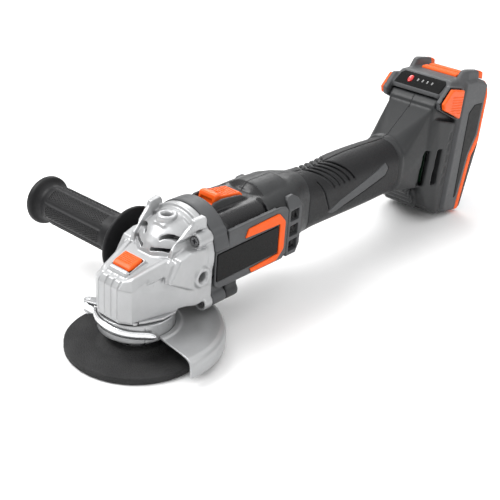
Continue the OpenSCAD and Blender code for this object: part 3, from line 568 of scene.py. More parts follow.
def gear_case_solids(bm):
    # Nose: an upright wall below, then facets that lean in to the top plate
    hull(bm, both_sides([
        (-30, 11.5, CASE_Z), (-24, 20.5, CASE_Z), (31, 33, CASE_Z), (49.8, 33, CASE_Z),
        (-30, 11.5, 66), (-24, 20.5, 65), (31, 33, 53), (49.8, 33, 53),
        (-26.5, 10.3, 71), (-20.5, 17, 72.4), (11, 24.5, 80.6), (49.8, 25, 80.6),
    ]))
    # Raised rim along both sides of the top plate
    for side in (-1, 1):
        side_hull(bm, side, [(-25.5, 10.2, 70.6), (-20.3, 14.5, 71.6), (-20.3, 17.2, 72.2),
            (-19.5, 15, 73.6), (-19, 17, 73.4), (12, 20, 82.6), (12, 24, 82.4), (12, 20, 80),
            (12, 24.7, 80)])
        # Flat flank behind the nose, which carries the side thread
        prism(bm, [(31, CASE_Z), (30, 52), (4, 66), (15, 83), (26, 86.5), (CASE_REAR, 83.5),
            (CASE_REAR, CASE_Z)], "y", *span(side, 24, 33), inset=0.8)
        rod(bm, "y", SIDE_THREAD, 8.8, *span(side, 30, 35.2), bevel=1.0)
        side_hull(bm, side, [(34, 30, 54), (34, 33.6, 55), (34, 33.6, 68), (34, 30, 69), (49.5, 30, 50),
            (49.5, 33.4, 51), (49.5, 33.4, 72), (49.5, 30, 73)])
        # Ear: a leaning fin beside the dome, with a blunt tip over the top screw
        side_hull(bm, side, [(13, 19, 80), (13, 23, 80), (15, 20, 88), (15, 23.6, 88), (33, 22, 104.8),
            (33, 25.6, 104.8), (37, 22.4, 100), (37, 26, 100), (37, 19, 84), (37, 23, 84)])
        side_hull(bm, side, [(32, 22, 103), (32, 26, 103), (35, 22, 108.6), (35, 26.4, 108.6),
            (45.5, 22.5, 109.6), (45.5, 28, 109.6), (47, 22, 106.5), (47, 27.6, 106.5), (47, 22, 99),
            (47, 27.6, 99), (34, 22, 99), (34, 26, 99)])
        # Groove wall between the leaning facet and the flank
        side_hull(bm, side, [(9, 24.6, 81.6), (12.5, 24.6, 83), (12.5, 28.4, 80), (9, 28, 78),
            (2, 29.6, 66.8), (5.5, 31, 66), (5.5, 27, 66), (2, 27, 66)])
    # Dome over the motor shaft, stepped out into the rear flange
    turned(bm, [(0, 8), (9, 8.4), (13.5, 11), (18, 14.5), (22.6, 19), (26.4, 25), (28.4, 31), (29.3, 38),
        (31.5, 39), (32, 43), (34.4, 43.6), (34.9, 44.4), (34.9, CASE_REAR), (0, CASE_REAR)], "x",
        MOTOR_AXIS, segments=128)
    # Top boss for the upright handle, on a pad that runs back to the flange
    hull(bm, both_sides([(19.5, 3.5, 94), (21.5, 6, 101.3), (25, 8.6, 98), (30, 10.5, 98), (36, 8, 104.8),
        (44, 11, 104.8), (49.5, 9, 107.6), (49.5, 11, 104), (34, 11, 98), (27, 6, 103.6)]))
    rod(bm, "z", TOP_THREAD, 8.2, 96, 107, bevel=0.9)
    # Screw bosses at the four corners
    for y, z, head in CASE_SCREWS:
        rod(bm, "x", (0, y, z), 6.6, head, CASE_REAR, bevel=0.6)
        hull(bm, [(x, y + dy - math.copysign(3.5, y), z + dz + (7 if z < MOTOR_Z else -5))
            for x in (head + 3, CASE_REAR) for dy in (-4, 4) for dz in (-5, 5)])
    # Lock button's collar
    hull(bm, both_sides([(-21.5, 10, 71.5), (-20.3, 10.5, 75), (0.5, 11.5, 77), (-1.2, 11, 81.2),
        (-20.8, 8, 75.6), (2, 10, 76), (-3, 7, 82.2), (-19.4, 9, 76.4)]))
    # Spear-shaped pads on the leaning facets
    for side in (-1, 1):
        side_hull(bm, side, [(-11, 23.6, 68), (-6, 21.6, 74.6), (7, 24.4, 78.2), (9.5, 26, 75.6),
            (5, 27.4, 71.4), (0, 20, 70)])


def gear_case_cuts(bm):
    # Upright grooves between the facets of the nose, carried over its top edge
    for y in (-10.6, -3.6, 3.6, 10.6):
        for ends in zip(NOSE_EDGE, NOSE_EDGE[1:]):
            hull(bm, [(x + dx, y + dy, z + dz) for x, z in ends for dx, dz in ((1.1, -1.1), (-4, 4))
                      for dy in (-0.75, 0.75)])
    # Pocket of the lock button, with room for it to sink
    block(bm, (-17.6, -2.4), (-10.1, 10.1), (72.3, 90))
    # Threads for the side handle and the holes for the screws
    for side in (-1, 1):
        rod(bm, "y", SIDE_THREAD, 4.1, *span(side, 19, 40))
        turned(bm, [(r, side * h) for r, h in THREAD_SINK[::side]], "y", SIDE_THREAD)
        # Cooling slots in the dome: a straight one at its foot and a curved one above
        side_hull(bm, side, [(8, 4, 83.2), (8, 4, 86.4), (17, 19.5, 84.4), (17, 19.5, 87.6), (28, 3, 79),
            (28, 3, 82), (34, 15, 79), (34, 15, 82)])
        for one, two in zip(UPPER_SLOT, UPPER_SLOT[1:]):
            hull(bm, [(x + dx, side * y, z + dz - dx * 0.25) for x, y, z in (one, two) for dx in (-7, 14)
                      for dz in (-1.9, 1.9)])
    rod(bm, "z", TOP_THREAD, 4.1, 97, 112)
    turned(bm, [(0, 105.3), (4.1, 105.3), (5.6, 108), (0, 108)], "z", TOP_THREAD)
    for y, z, head in CASE_SCREWS:
        rod(bm, "x", (0, y, z), 4.7, head - 25, head + 2.4)
        rod(bm, "x", (0, y, z), 2.1, head, head + 30)
    # Bearing and gear space, open below
    rod(bm, "z", DISC_AXIS, 24, CASE_Z - 6, 67)
    rod(bm, "x", MOTOR_AXIS, 20, CASE_REAR - 12, CASE_REAR + 5)


NOSE_EDGE = [(-30, 40), (-30, 66.4), (-25.4, 72.4), (-21, 73.4)]
THREAD_SINK = [(0, 33.2), (4.1, 33.2), (6.2, 36), (0, 36)]
# Each screw's y and z, and the x of its head
CASE_SCREWS = [(26.5, 91, 35), (-26.5, 91, 35), (29, 35, 41), (-29, 35, 41)]
UPPER_SLOT = [(18, 7.5, 92), (21, 11, 94.2), (23, 15.5, 94.4), (25, 20.5, 92.5)]

moulded("gear_case_casting", gear_case_solids, "tool", "cast_case", CAST, ["gear_case"], cut=gear_case_cuts,
    voxel=0.78, soften=2)


def lock_button_solids(bm):
    prism(bm, [(-16.9, 75.7), (-16.6, 77.9), (-14.2, 79.6), (-4.2, 82.9), (-3.1, 82.2), (-3.1, 75.7)], "y",
        -9.4, 9.4, 0.7)


def lock_button_cuts(bm):
    for i in range(6):
        x = -13.4 + i * 1.6
        z = 79.9 + (x + 14.2) * 0.33
        block(bm, (x, x + 0.8), (-7.4, 7.4), (z - 0.9, z + 3))


moulded("lock_button_cap", lock_button_solids, "lock", "orange_plastic", ORANGE_PLASTIC, ["lock_button"],
        cut=lock_button_cuts, voxel=0.4, soften=2)


def cap_solids(bm):
    outline = [(-29, 11), (-23.3, 19.6), (-15, 25), (0, 30.5), (14, 29.8), (24, 24), (31, 14), (32.6, 0)]
    outline += [(x, -y) for x, y in reversed(outline[:-1])]
    prism(bm, outline, "z", 36, CASE_Z + 0.3, 0.7)
    turned(bm, [(12, 19), (27.2, 19), (27.5, 19.4), (27.5, 36.2), (12, 36.2)], "z", DISC_AXIS)


def cap_cuts(bm):
    rod(bm, "z", DISC_AXIS, 12, 15, 50)
    rod(bm, "z", DISC_AXIS, 21, 15, 25)
    for i in range(4):
        a = TURN * (i + 0.5) / 4
        rod(bm, "z", (27.4 * math.cos(a), 27.4 * math.sin(a), 0), 3.2, 30, 38.2)


moulded("bearing_cap_casting", cap_solids, "tool", "cast_case", CAP_CAST, ["bearing_cap"], cut=cap_cuts,
    voxel=0.7)


# ---------- disc and guard ----------


def disc_solids(bm):
    profile = [(11.2, 5.05), (23.6, 5.05), (24.4, 4.6), (28.6, 0.4), (29.4, 0.02), (DISC_R - 0.8, 0.02),
        (DISC_R, 0.8)]
    steps = 14
    profile += [(DISC_R - 0.05 * (i % 2), 0.8 + 4.4 * i / steps) for i in range(1, steps)]
    profile += [(DISC_R, 5.2), (DISC_R - 0.8, 5.98)]
    profile += [(57 - i * 0.9, 5.94 + 0.04 * math.cos(i * 2.1)) for i in range(1, 27)]
    profile += [(31.5, 5.98), (30.6, 6.4), (26.8, 10.4), (26, 10.95), (11.2, 10.95)]
    turned(bm, profile, "z", DISC_AXIS, segments=360)


def grinding_disc():
    """The wheel, its rim and faces broken up by grain that only cuts inwards."""
    disc = solid_object("grinding_wheel", disc_solids)
    for vertex in disc.data.vertices:
        x, y, z = vertex.co / MM
        radius = math.hypot(x, y)
        if radius > 31 and 0.05 < z < 5.95 or radius > DISC_R - 1.5:
            pull = 1 - 0.0045 * random.random()
            vertex.co.x *= pull
            vertex.co.y *= pull
    return finish_piece(disc, "spindle", "abrasive", ABRASIVE, "grinding_disc")


grinding_disc()


GUARD_FROM, GUARD_TO = math.radians(-98), math.radians(74)


def guard_profile():
    """The guard's section as (radius, height): hub ring, plate, rounded shoulder, skirt and rolled rim."""
    outer = [(31.2, 24.3), (35.2, 24.3), (36.2, 23.6), (37, 23), (60, 22.9), (66.5, 22.5), (69.4, 21.4),
        (71, 19.6), (GUARD_R, 17), (GUARD_R, 6.8), (GUARD_R - 0.3, 6.1)]
    inner = [(70.3, 6.1), (70, 6.8), (70, 17), (69, 19), (67, 20.6), (60, 21.2), (31.2, 21.2)]
    return outer + inner


def guard_solids(bm):
    count = 150
    rings = []
    for i in range(count + 1):
        a = GUARD_FROM + (GUARD_TO - GUARD_FROM) * i / count
        rings.append([(r * math.cos(a), r * math.sin(a), h) for r, h in guard_profile()])
    skin(bm, rings)
    # Stiffening lips rolled down along both cut edges
    for a in (GUARD_FROM + 0.006, GUARD_TO - 0.006):
        c, s = math.cos(a), math.sin(a)
        rings = []
        for r, h in ((37, 21.6), (50, 21.5), (60, 21.3), (66, 20.6), (69.2, 18.4), (70.2, 14), (70.2, 7)):
            rings.append([(r * c - s * u, r * s + c * u, h + w)
                          for u, w in ((-0.3, 0), (1.3, 0), (1.3, 1.2), (-0.3, 1.2))])
        skin(bm, rings)


moulded("guard_pressing", guard_solids, "guard", "guard_steel", GUARD, ["guard_shell"], voxel=0.8, soften=3)


def collar_solids(bm):
    turned(bm, [(27.7, 19.6), (30.6, 19.6), (31, 20), (31, 34.8), (30.6, 35.3), (27.7, 35.3)], "z",
        DISC_AXIS)
    turn = Matrix.Rotation(math.radians(100), 4, "Z")
    block(bm, (29, 37.8), (-7, 7), (27, 33), 0.8, turn)
    for low, high in ((24.4, 26.3), (34.1, 35.4)):
        angles = [TURN * i / 24 for i in range(24)]
        ring = [(LEVER_PIN[0] + 4 * math.cos(a), LEVER_PIN[1] + 4 * math.sin(a)) for a in angles]
        ring += [(29.8 * math.cos(math.radians(d)), 29.8 * math.sin(math.radians(d)))
            for d in (112, 116, 126, 132)]
        hull(bm, [(x, y, z) for x, y in ring for z in (low, high)])


def collar_cuts(bm):
    turn = Matrix.Rotation(math.radians(100), 4, "Z")
    block(bm, (20, 50), (-1, 1), (10, 50), 0, turn)
    # Seam where the collar's two stampings meet
    block(bm, (30.3, 33), (-0.35, 0.35), (18, 36), 0, Matrix.Rotation(math.radians(-120), 4, "Z"))
    rod(bm, "y", (34.4, 0, 30), 1.75, -12, 12, matrix=turn)
    rod(bm, "z", LEVER_PIN, 2.05, 20, 40)


moulded("guard_clamp", collar_solids, "guard", "plated_steel", CAP_CAST, ["guard_collar"], cut=collar_cuts,
    voxel=0.5, soften=3)


def lever_solids(bm):
    """A strip that hugs the collar, widest at its pin, and curls out at its thumb tip."""
    thick = 1.7
    rings = []
    count = 60
    for i in range(count + 1):
        t = i / count
        angle = math.radians(133 + 119 * t)
        radius = 31.7 + 3.0 * max(0, (t - 0.86) / 0.14) ** 1.6
        low = 27 + 0.8 * max(0, 0.25 - t) - 3.2 * max(0, t - 0.3) / 0.7
        high = 33.8 + 0.6 * math.sin(math.pi * min(1, t * 2)) - 3.4 * max(0, t - 0.45) / 0.55
        tip = max(0, (t - 0.93) / 0.07)
        low, high = low + 2.2 * tip ** 2, high - 1.6 * tip ** 2
        section = [(0, low), (thick, low + 0.5), (thick + 0.5, (low + high) / 2), (thick, high - 0.5),
            (0, high)]
        rings.append([((radius + r) * math.cos(angle), (radius + r) * math.sin(angle), h)
            for r, h in section])
    skin(bm, rings)
    rod(bm, "z", LEVER_PIN, 4.1, 26.7, 33.7, bevel=0.6)
    hull(bm, [(x, y, z) for x, y in ((-22.6, 31.2), (-24, 33), (-22.2, 22.6), (-24.3, 23.9), (-23.4, 25))
        for z in (27.2, 33.2)])


def lever_cuts(bm):
    rod(bm, "z", LEVER_PIN, 2.1, 20, 40)


moulded("guard_lever_strip", lever_solids, "lever", "plated_steel", PLATED, ["guard_lever"], cut=lever_cuts,
    voxel=0.45, soften=4)


# ---------- ring, housing halves and side panels ----------


def ring_solids(bm):
    turned(bm, [(26, 50.2), (35.6, 50.2), (36, 50.8), (36, 65.4), (35.6, 65.9), (26, 65.9)], "x",
        MOTOR_AXIS, 128)
    for y, z, _ in CASE_SCREWS:
        rod(bm, "x", (0, y, z), 6.2, 50.2, 65.9, bevel=0.5)
    for side in (-1, 1):
        block(bm, (50.2, 65.9), span(side, 20, 31), (33.8, 54), 0.6)
        # Step that carries the panel's front corner
        side_hull(bm, side, [(x, y, z) for x in (52, 65.9)
                             for y, z in ((20, 84), (31.4, 80), (29.5, 95.5), (22, 99.5))])


def ring_cuts(bm):
    rod(bm, "x", MOTOR_AXIS, 26, 40, 80)
    for side in (-1, 1):
        block(bm, (40, 80), span(side, 31.25, 60), (43, 79.5))


moulded("front_ring_moulding", ring_solids, "tool", "grey_plastic", GREY, ["front_ring"], cut=ring_cuts,
    voxel=0.8)


HOUSING_STATIONS = smooth_stations([(66.3, 31.3, 40, 101.4, 14), (90, 31.4, 40, 101.5, 14),
    (118, 31.4, 40, 101.5, 14.5), (140, 31.2, 40.2, 103, 17), (158, 30.4, 40.6, 104, 21),
    (168, 28, 41, 103.6, 22), (176, 25, 41.3, 102.4, 22), (184, 22.8, 41.8, 100.6, 21),
    (196, 21.8, 43.2, 98.6, 20)])
HOUSING_SCREWS = [(153, 48), (146, 94), (342, 62), (352, 88), (372, 36)]
GRIP_STATIONS = [(184, 21.5, 43.5, 97.5, 20), (326, 21.5, 43.5, 97.5, 20)]


def housing_solids(bm):
    loft(bm, HOUSING_STATIONS)
    loft(bm, GRIP_STATIONS)
    # Rails beside the slide switch
    for side in (-1, 1):
        prism(bm, [(67, 99), (67, 105.4), (71.5, 108), (80, 109), (102, 106.4), (112, 101), (112, 99)], "y",
              *span(side, 10.1, 13.4), inset=0.5)
    # Solid backing of the air outlets
    hull(bm, both_sides([(142, 28, 45), (142, 30.5, 50), (142, 30.5, 90), (142, 27, 96), (157.5, 28, 45),
        (157.5, 30, 50), (157.5, 30, 90), (157.5, 27, 95)]))
    # Lower screw lobes at the front
    for y, z, _ in CASE_SCREWS[2:]:
        rod(bm, "x", (0, y, z), 6.2, 66.3, 81, bevel=1.0)
        block(bm, (66.3, 80), (y - 4.4, y + 4.4), (z, z + 14))
    # Rounded hump behind the slide switch, with a chamfered front
    turned(bm, [(0, 118), (28.5, 118), (32.6, 124), (32.9, 128), (32.9, 152), (31.5, 158), (0, 158)], "x",
           MOTOR_AXIS, 128)
    # Collar between the grip and the foot
    loft(bm, [(323.5, 22, 43, 98, 20), (325, 23.6, 41, 100, 22), (328, 24.2, 40.4, 100.6, 22),
        (331, 23.4, 41, 100, 22)])
    # Foot: flares from the collar to the battery's mating face
    ring = [(329, y, z) for y, z in rounded(23.4, 41.2, 99.6, 22, 6)]
    front = [PACK @ Vector((-37.5, v, w)) for v, w in ((-25, 122), (25, 122), (27, 80), (-27, 80), (24, 38),
        (-24, 38))]
    hull(bm, ring + front)
    plate = [(-38.5, 26.5, 108), (-37, 28, 100), (-38, 27, 50), (-34, 26, 32), (-24, 29, 16), (-8, 33, 5.4),
        (-0.4, 33.4, 5.4), (-0.4, 33.4, 104), (-8, 33.4, 104.5), (-30, 31, 110)]
    hull(bm, both_sides(plate), PACK)
    top = [(-39, 25.5, 123.5), (-37.5, 27, 126), (-34, 27, 130), (-0.4, 27.6, 130), (-0.4, 28, 98),
        (-38, 27.5, 100)]
    hull(bm, both_sides(top), PACK)
    # Ribs under the foot
    for i in range(5):
        x = 340 + i * 7.5
        hull(bm, both_sides([(x, 19, 47 - i * 7.4), (x + 3.4, 19, 44 - i * 7.4), (x + 6, 17, 56 - i * 6),
            (x - 3, 17, 56 - i * 6)]))


def housing_cuts(bm):
    # Room for the motor and the electronics
    rod(bm, "x", MOTOR_AXIS, 23.4, 60, 136)
    loft(bm, [(150, 27, 45, 98, 16), (184, 18.5, 46.5, 94.5, 16), (322, 18.5, 46.5, 94.5, 16)])
    block(bm, (-34, -15), (-24, 24), (34, 118), 0, PACK)
    # Slide of the battery, open at the top
    block(bm, (-12.5, 10), (-22.5, 22.5), (14, 140), 0, PACK)
    block(bm, (-9, -3.7), (-26.5, 26.5), (14, 140), 0, PACK)
    # Switch slot
    block(bm, (75, 99), (-3, 3), (97, 112))
    # Groove in front of the hump
    turned(bm, [(31.6, 114.6), (40, 114.6), (40, 117.6), (31.6, 117.6)], "x", MOTOR_AXIS, 128)
    for side in (-1, 1):
        # Air outlets behind the side panel
        for z in (47.5, 61, 75):
            block(bm, (144.5, 155), span(side, 28.4, 40), (z, z + 9.5), 0.8)
        # Tall vents in the foot
        for u in (-40.5, -23.5):
            block(bm, (u, u + 8), span(side, 22, 40), (40, 78), 0.6, PACK)
        # Grooves that run down the neck's flank
        for x in (164, 173):
            hull(bm, [(x + dx + k, side * y, z) for k, y, z in ((0, 32, 92), (9, 32, 52),
                (0, 27.6 - (x - 164) * 0.32, 92), (9, 26 - (x - 164) * 0.3, 52)) for dx in (0, 0.9)])
        # Side groove of the foot
        hull(bm, [PACK @ Vector((u, side * v, w)) for u, v, w in (
            (-42, 22.5, 124), (-40.5, 24, 124), (-42, 24.5, 92), (-40.5, 26, 92))])
        for z in (28, 40, 52, 64, 76):
            block(bm, (-9.5, -4.5), span(side, 32.4, 36), (z + 10, z + 19), 0.3, PACK)
    for x, z in HOUSING_SCREWS:
        rod(bm, "y", (x, 0, z), 3.4, 17, 64)


def has_painted_shade(c):
    """Whether a face gets painted shade: on the shoulder over the motor beside its rails, in the groove and
    on the chamfered front of the hump, or in an air outlet.
    """
    beside = abs(c.y) > 13.8 or c.x > 117
    below_hump = c.x < 118 or math.hypot(c.y, c.z - MOTOR_Z) < 32.4
    return (67.4 < c.x < 131 and c.z > 91 and beside and below_hump
            or 143.5 < c.x < 156 and abs(c.y) < 31 and 46 < c.z < 86)


# Voxel sizes of the housing, the sleeves and the battery, and of their cuts
BODY_VOXEL, BODY_CUT_VOXEL = 1.1, 0.7
SLEEVE_VOXEL, SLEEVE_CUT_VOXEL = 0.7, 0.55
PACK_VOXEL, PACK_CUT_VOXEL = 0.85, 0.6
# Gap that each half leaves at a seam, and the reach of the block that keeps one half of a body
BODY_SEAM, SLEEVE_SEAM, PACK_SEAM = 0.12, 0.1, 0.12
REACH_X, REACH_Y, REACH_Z = (0, 500), 80, (-40, 200)


def half_of(body, name, side, seam):
    """A copy of one side of a body that stops just short of the middle plane, so that a fine seam shows."""
    half = copied(body, name)
    keep = solid_object("keep", lambda bm: block(bm, REACH_X, span(side, seam, REACH_Y), REACH_Z))
    combine(half, keep, "INTERSECT")
    return half


def housing():
    body = fused("housing_body", housing_solids, BODY_VOXEL)
    combine(body, fused("housing_tool", housing_cuts, BODY_CUT_VOXEL), "DIFFERENCE")
    remeshed(body, BODY_VOXEL)
    for side, tag in SIDES:
        half = half_of(body, "housing_shell_" + tag, side, BODY_SEAM)
        softened(half, 3)
        finish_piece(half, "tool", "dark_plastic", DARK, "housing_" + tag)
        # Painted shade: the shoulder, the hump's front and the air outlet pockets get a darker gloss nylon in
        # place of their shade and dark reflections
        repaint(half, SHADE_PAINTED_NYLON, has_painted_shade)
    bpy.data.objects.remove(body)


housing()


def vent_cover_solids(bm, side):
    outline = [(141.8, 43.4), (141.8, 95), (143.6, 98), (150, 98.6), (156, 95), (159.4, 88), (159.4, 52),
        (155, 43.6)]
    prism(bm, outline, "y", *span(side, 26, 33.6), inset=0.7)


def vent_cover_cuts(bm, side):
    # Top leans in with the housing's shoulder
    hull(bm, [(x, side * y, z) for x in (138, 163)
              for y, z in ((34.4, 86), (29, 99.5), (45, 86), (45, 110), (29, 110))])
    for z in (47.2, 61.2, 75.4):
        prism(bm, [(144.6, z), (155.6, z + 0.6), (155.6, z + 11), (144.6, z + 10.2)], "y",
            *span(side, 20, 40))
    prism(bm, [(143.6, 89.5), (147, 95), (152, 96), (155.6, 93), (156.6, 89.5)], "y", *span(side, 32.9, 40))


def panel_solids(bm, side):
    outline = [(52.6, 47.5), (52.6, 78), (66.5, 79.2), (67.2, 80.4), (67.2, 92.2), (131, 93.8), (138, 92),
        (141.2, 88), (141.2, 48.5), (136.5, 43.6), (57, 43.6)]
    prism(bm, outline, "y", *span(side, 31.6, 33.8), inset=0.6)
    # Ledge along the panel's upper edge
    side_hull(bm, side, [(67.2, 30.5, 92.5), (67.2, 33.4, 91), (67.2, 33.9, 86.5), (67.2, 31.6, 84),
        (126, 30.5, 94.2), (126, 33.4, 92.8), (126, 33.9, 88.5), (126, 31.6, 86)])


def panel_cuts(bm, side):
    prism(bm, shrunk(TRIM, -0.35), "y", *span(side, 33.1, 40))
    prism(bm, shrunk(LABEL, -0.35), "y", *span(side, 33.1, 40))


LABEL = [(55.2, 50.6), (54.2, 51.6), (54.2, 74.6), (55.2, 75.6), (127.8, 77.5), (128.8, 76.5),
    (128.8, 53.5), (127.8, 52.5)]
TRIM = [(86.6, 79.6), (89.5, 86.4), (91, 87.2), (126.5, 89), (129, 88.2), (136, 81), (137, 79), (137, 55),
    (136, 53), (129, 46), (127, 45.2), (96.5, 45), (94.2, 49.2), (129.8, 51.3), (129.8, 78.8)]


def sides():
    for side, tag in SIDES:
        moulded("vent_cover_" + tag, lambda bm: vent_cover_solids(bm, side), "tool", "grey_plastic", GREY,
                cut=lambda bm: vent_cover_cuts(bm, side), voxel=0.6, soften=3)
        moulded("side_panel_skin_" + tag, lambda bm: panel_solids(bm, side), "tool", "grey_plastic", GREY,
                ["side_panel_" + tag], cut=lambda bm: panel_cuts(bm, side), voxel=0.6, soften=3)
        moulded("side_trim_skin_" + tag, lambda bm: prism(bm, TRIM, "y", *span(side, 33.05, 34.8),
            inset=0.5), "tool", "orange_rubber", ORANGE_RUBBER, ["side_trim_" + tag], voxel=0.5, soften=3)
    moulded("label_plate_pair", lambda bm: [prism(bm, LABEL, "y", *span(side, 33.05, 34.3), inset=0.35)
                                            for side in (1, -1)],
            "tool", "black_plastic", GLOSS, ["label_plates"], voxel=0.5, soften=2)


sides()


# ---------- grip ----------

GRIP_SHAPE = smooth_stations([(183.2, 23.4, 41.8, 100.4, 22), (200, 22.8, 42.4, 99.4, 22),
    (226, 22.6, 42, 99.6, 22), (254, 23.2, 41.6, 101, 22.5), (290, 23.4, 41.6, 100.4, 22.5),
    (323.4, 23, 42, 98.8, 22)], 3)
INLAY = [(213, 60), (231, 67.5), (300, 86), (304, 80), (300, 73.5), (238, 60.5), (222, 55.5)]


def grip_solids(bm):
    loft(bm, GRIP_SHAPE)


def grip_cuts(bm):
    loft(bm, [(180, 20.8, 44.2, 97, 20), (330, 20.8, 44.2, 97, 20)])
    for side in (-1, 1):
        prism(bm, shrunk(INLAY, -0.4), "y", *span(side, 21.6, 40))
        # Finger grooves that run forward down each flank
        for i in range(5):
            x = 196 + i * 7.6
            hull(bm, [(x + dx + k, side * y, z) for k, y, z in ((0, 0, 103), (0, 0, 98.8 - 0.1 * i),
                (12, 16, 101), (12, 15, 94.4), (24, 25, 84), (24, 21.6, 82)) for dx in (0, 1.8)])
        # Piping line round the front of the sleeve
        side_hull(bm, side, [(186, 0, 103), (187, 0, 103), (186, 0, 99.7), (187, 0, 99.7), (196, 17, 100),
            (197.2, 17, 100), (196, 15, 96.6), (197.2, 15, 96.6)])
        side_hull(bm, side, [(196, 16, 100), (197.2, 16, 100), (196, 14.6, 97), (197.2, 14.6, 97),
            (214, 26, 62), (215.4, 26, 62), (214, 22, 62), (215.4, 22, 62), (205, 26, 84), (206, 26, 84)])


def inlay_solids(bm):
    for side in (-1, 1):
        prism(bm, INLAY, "y", *span(side, 20.5, 30), inset=0.4)


def grip():
    body = fused("grip_body", grip_solids, SLEEVE_VOXEL)
    combine(body, fused("grip_tool", grip_cuts, SLEEVE_CUT_VOXEL), "DIFFERENCE")
    for side, tag in SIDES:
        half = half_of(body, "grip_sleeve_skin_" + tag, side, SLEEVE_SEAM)
        remeshed(half, SLEEVE_VOXEL)
        softened(half, 3)
        finish_piece(half, "tool", "grip_rubber", RUBBER, "grip_sleeve_" + tag)
    bpy.data.objects.remove(body)
    inlay = fused("grip_inlay_pair", inlay_solids, SLEEVE_CUT_VOXEL)
    combine(inlay, fused("grip_shape", grip_solids, SLEEVE_VOXEL), "INTERSECT")
    remeshed(inlay, SLEEVE_CUT_VOXEL)
    softened(inlay, 3)
    finish_piece(inlay, "tool", "grey_rubber", GREY_RUBBER, "grip_inlays")


grip()


# ---------- slide switch ----------


def slider_solids(bm):
    prism(bm, [(74.2, 101.9), (74, 106.6), (75.4, 111.4), (77, 112), (80.6, 112), (83.2, 109.8),
        (105.5, 106.6), (108.6, 104), (108.8, 101.9)], "y", -9.1, 9.1, 0.8)


def slider_cuts(bm):
    for i in range(6):
        x = 85 + i * 3.3
        z = 109.5 - (x - 83.2) * 0.142
        block(bm, (x, x + 1.5), (-7.6, -0.9), (z - 1.7, z + 4))
        block(bm, (x + 1.6, x + 3.1), (0.9, 7.6), (z - 1.7, z + 4))
    block(bm, (84, 105), (-0.45, 0.45), (107.4, 115))
    block(bm, (70, 75.6), (-6.5, 6.5), (103.2, 108), 0.5)


moulded("slide_switch_cap", slider_solids, "switch", "orange_plastic", ORANGE_PLASTIC, ["switch_slider"],
        cut=slider_cuts, voxel=0.5, soften=2)


# ---------- battery ----------

PACK_SIDE = [(0.2, 8), (8, 2.4), (34, 0.1), (40.4, 4), (54, 73), (54, 127), (48, 141), (24, 147.8),
    (0.2, 147.8)]
BAND_FRONT = [(46, 84), (35, 64), (25, -20)]
BAND_REAR = [(32, -20), (42, 62), (60, 90)]
# Outlines that share the pack out between its three shells, seen from the side
FRONT_ZONE = [(-60, -20), (-60, 170), (46, 170)] + BAND_FRONT
REAR_ZONE = BAND_REAR + [(90, 90), (90, -20)]
BAND_ZONE = [(46, 160)] + BAND_FRONT + BAND_REAR + [(60, 160)]


def pack_solids(bm):
    """The closed pack, its long edges chamfered, with its head and its slide block."""
    rings = []
    for v, shrink in ((-35.9, 5.5), (-30.5, 0), (30.5, 0), (35.9, 5.5)):
        rings.append([(u, v, w) for u, w in shrunk(PACK_SIDE, shrink * 0.62)])
    skin(bm, rings, PACK)
    hull(bm, both_sides([(0.4, 30, 131.2), (-34.6, 26, 131.2), (-31, 30, 131.2), (-34.8, 25.5, 135.4),
        (-34, 27, 136), (-31, 30, 137.6), (-18.5, 29.8, 147), (-17, 27, 147.8), (0.4, 29.8, 147),
        (0.4, 27, 147.8)]), PACK)
    block(bm, (-12, 1), (-22, 22), (15, 132), 0, PACK)
    block(bm, (-8.5, -4.2), (-26, 26), (15, 120), 0, PACK)
    # Cheeks that carry the release buttons
    for side in (-1, 1):
        prism(bm, [(0.4, 106), (-39.4, 122.4), (-42, 130), (-28, 144.4), (0.4, 141.6)], "y",
              *span(side, 29, 34.4), inset=0.8, matrix=PACK)
        # Lug on each top corner
        side_hull(bm, side, [(-8, 25, 143), (-8, 30.5, 141), (0, 23.5, 144), (1, 25.5, 155.6),
            (1.5, 30, 155.8), (9, 25, 156.4), (9, 32, 156), (29.7, 25, 154.1), (29.7, 31.5, 153.6),
            (29.7, 24, 144), (29.7, 34, 141), (6, 34.2, 141)], PACK)


def pack_hollow_solids(bm):
    block(bm, (3, 49), (-32, 32), (8, 134), 3, PACK)


def front_shell_cuts(bm):
    # Seat of the gauge panel, pockets of the release buttons and their springs
    prism(bm, [(-19.6, 154), (-19.6, 146.2), (-34, 135.9), (-50, 135.9), (-50, 154)], "y", -27, 27,
        matrix=PACK)
    for side in (-1, 1):
        prism(bm, [(-2.5, 108.4), (-38.5, 122.8), (-41, 129.6), (-27.4, 143.4), (-3, 139.6)], "y",
              *span(side, 31.2, 40), matrix=PACK)
        for i in range(8):
            block(bm, (3 + i * 0.1, 10), span(side, 35.3, 40), (24 + i * 10, 25.2 + i * 10), matrix=PACK)
    # Seats of the bars across the top
    for u in (4, 17):
        block(bm, (u, u + 11), (-21, 21), (146.6, 160), 0, PACK)


def battery():
    body = fused("pack_body", pack_solids, PACK_VOXEL)
    combine(body, solid_object("pack_hollow", pack_hollow_solids), "DIFFERENCE")
    shell_cut = fused("shell_cut", front_shell_cuts, PACK_CUT_VOXEL)
    for name, outline, node, slot, material in (
            ("battery_case_front", FRONT_ZONE, "battery_front_shell", "grey_plastic", GREY),
            ("battery_case_rear", REAR_ZONE, "battery_rear_shell", "dark_plastic", DARK),
            ("battery_zigzag_band", BAND_ZONE, "battery_band", "orange_rubber", ORANGE_RUBBER)):
        piece = copied(body, name)
        area = shrunk(outline, PACK_SEAM)
        keep = solid_object("keep", lambda bm, area=area: prism(bm, area, "y", -60, 60, matrix=PACK))
        combine(piece, keep, "INTERSECT")
        if node == "battery_front_shell":
            combine(piece, copied(shell_cut, "shell_cut_copy"), "DIFFERENCE")
        remeshed(piece, PACK_VOXEL)
        softened(piece, 4)
        finish_piece(piece, "battery", slot, material, node)
    bpy.data.objects.remove(body)
    bpy.data.objects.remove(shell_cut)


battery()


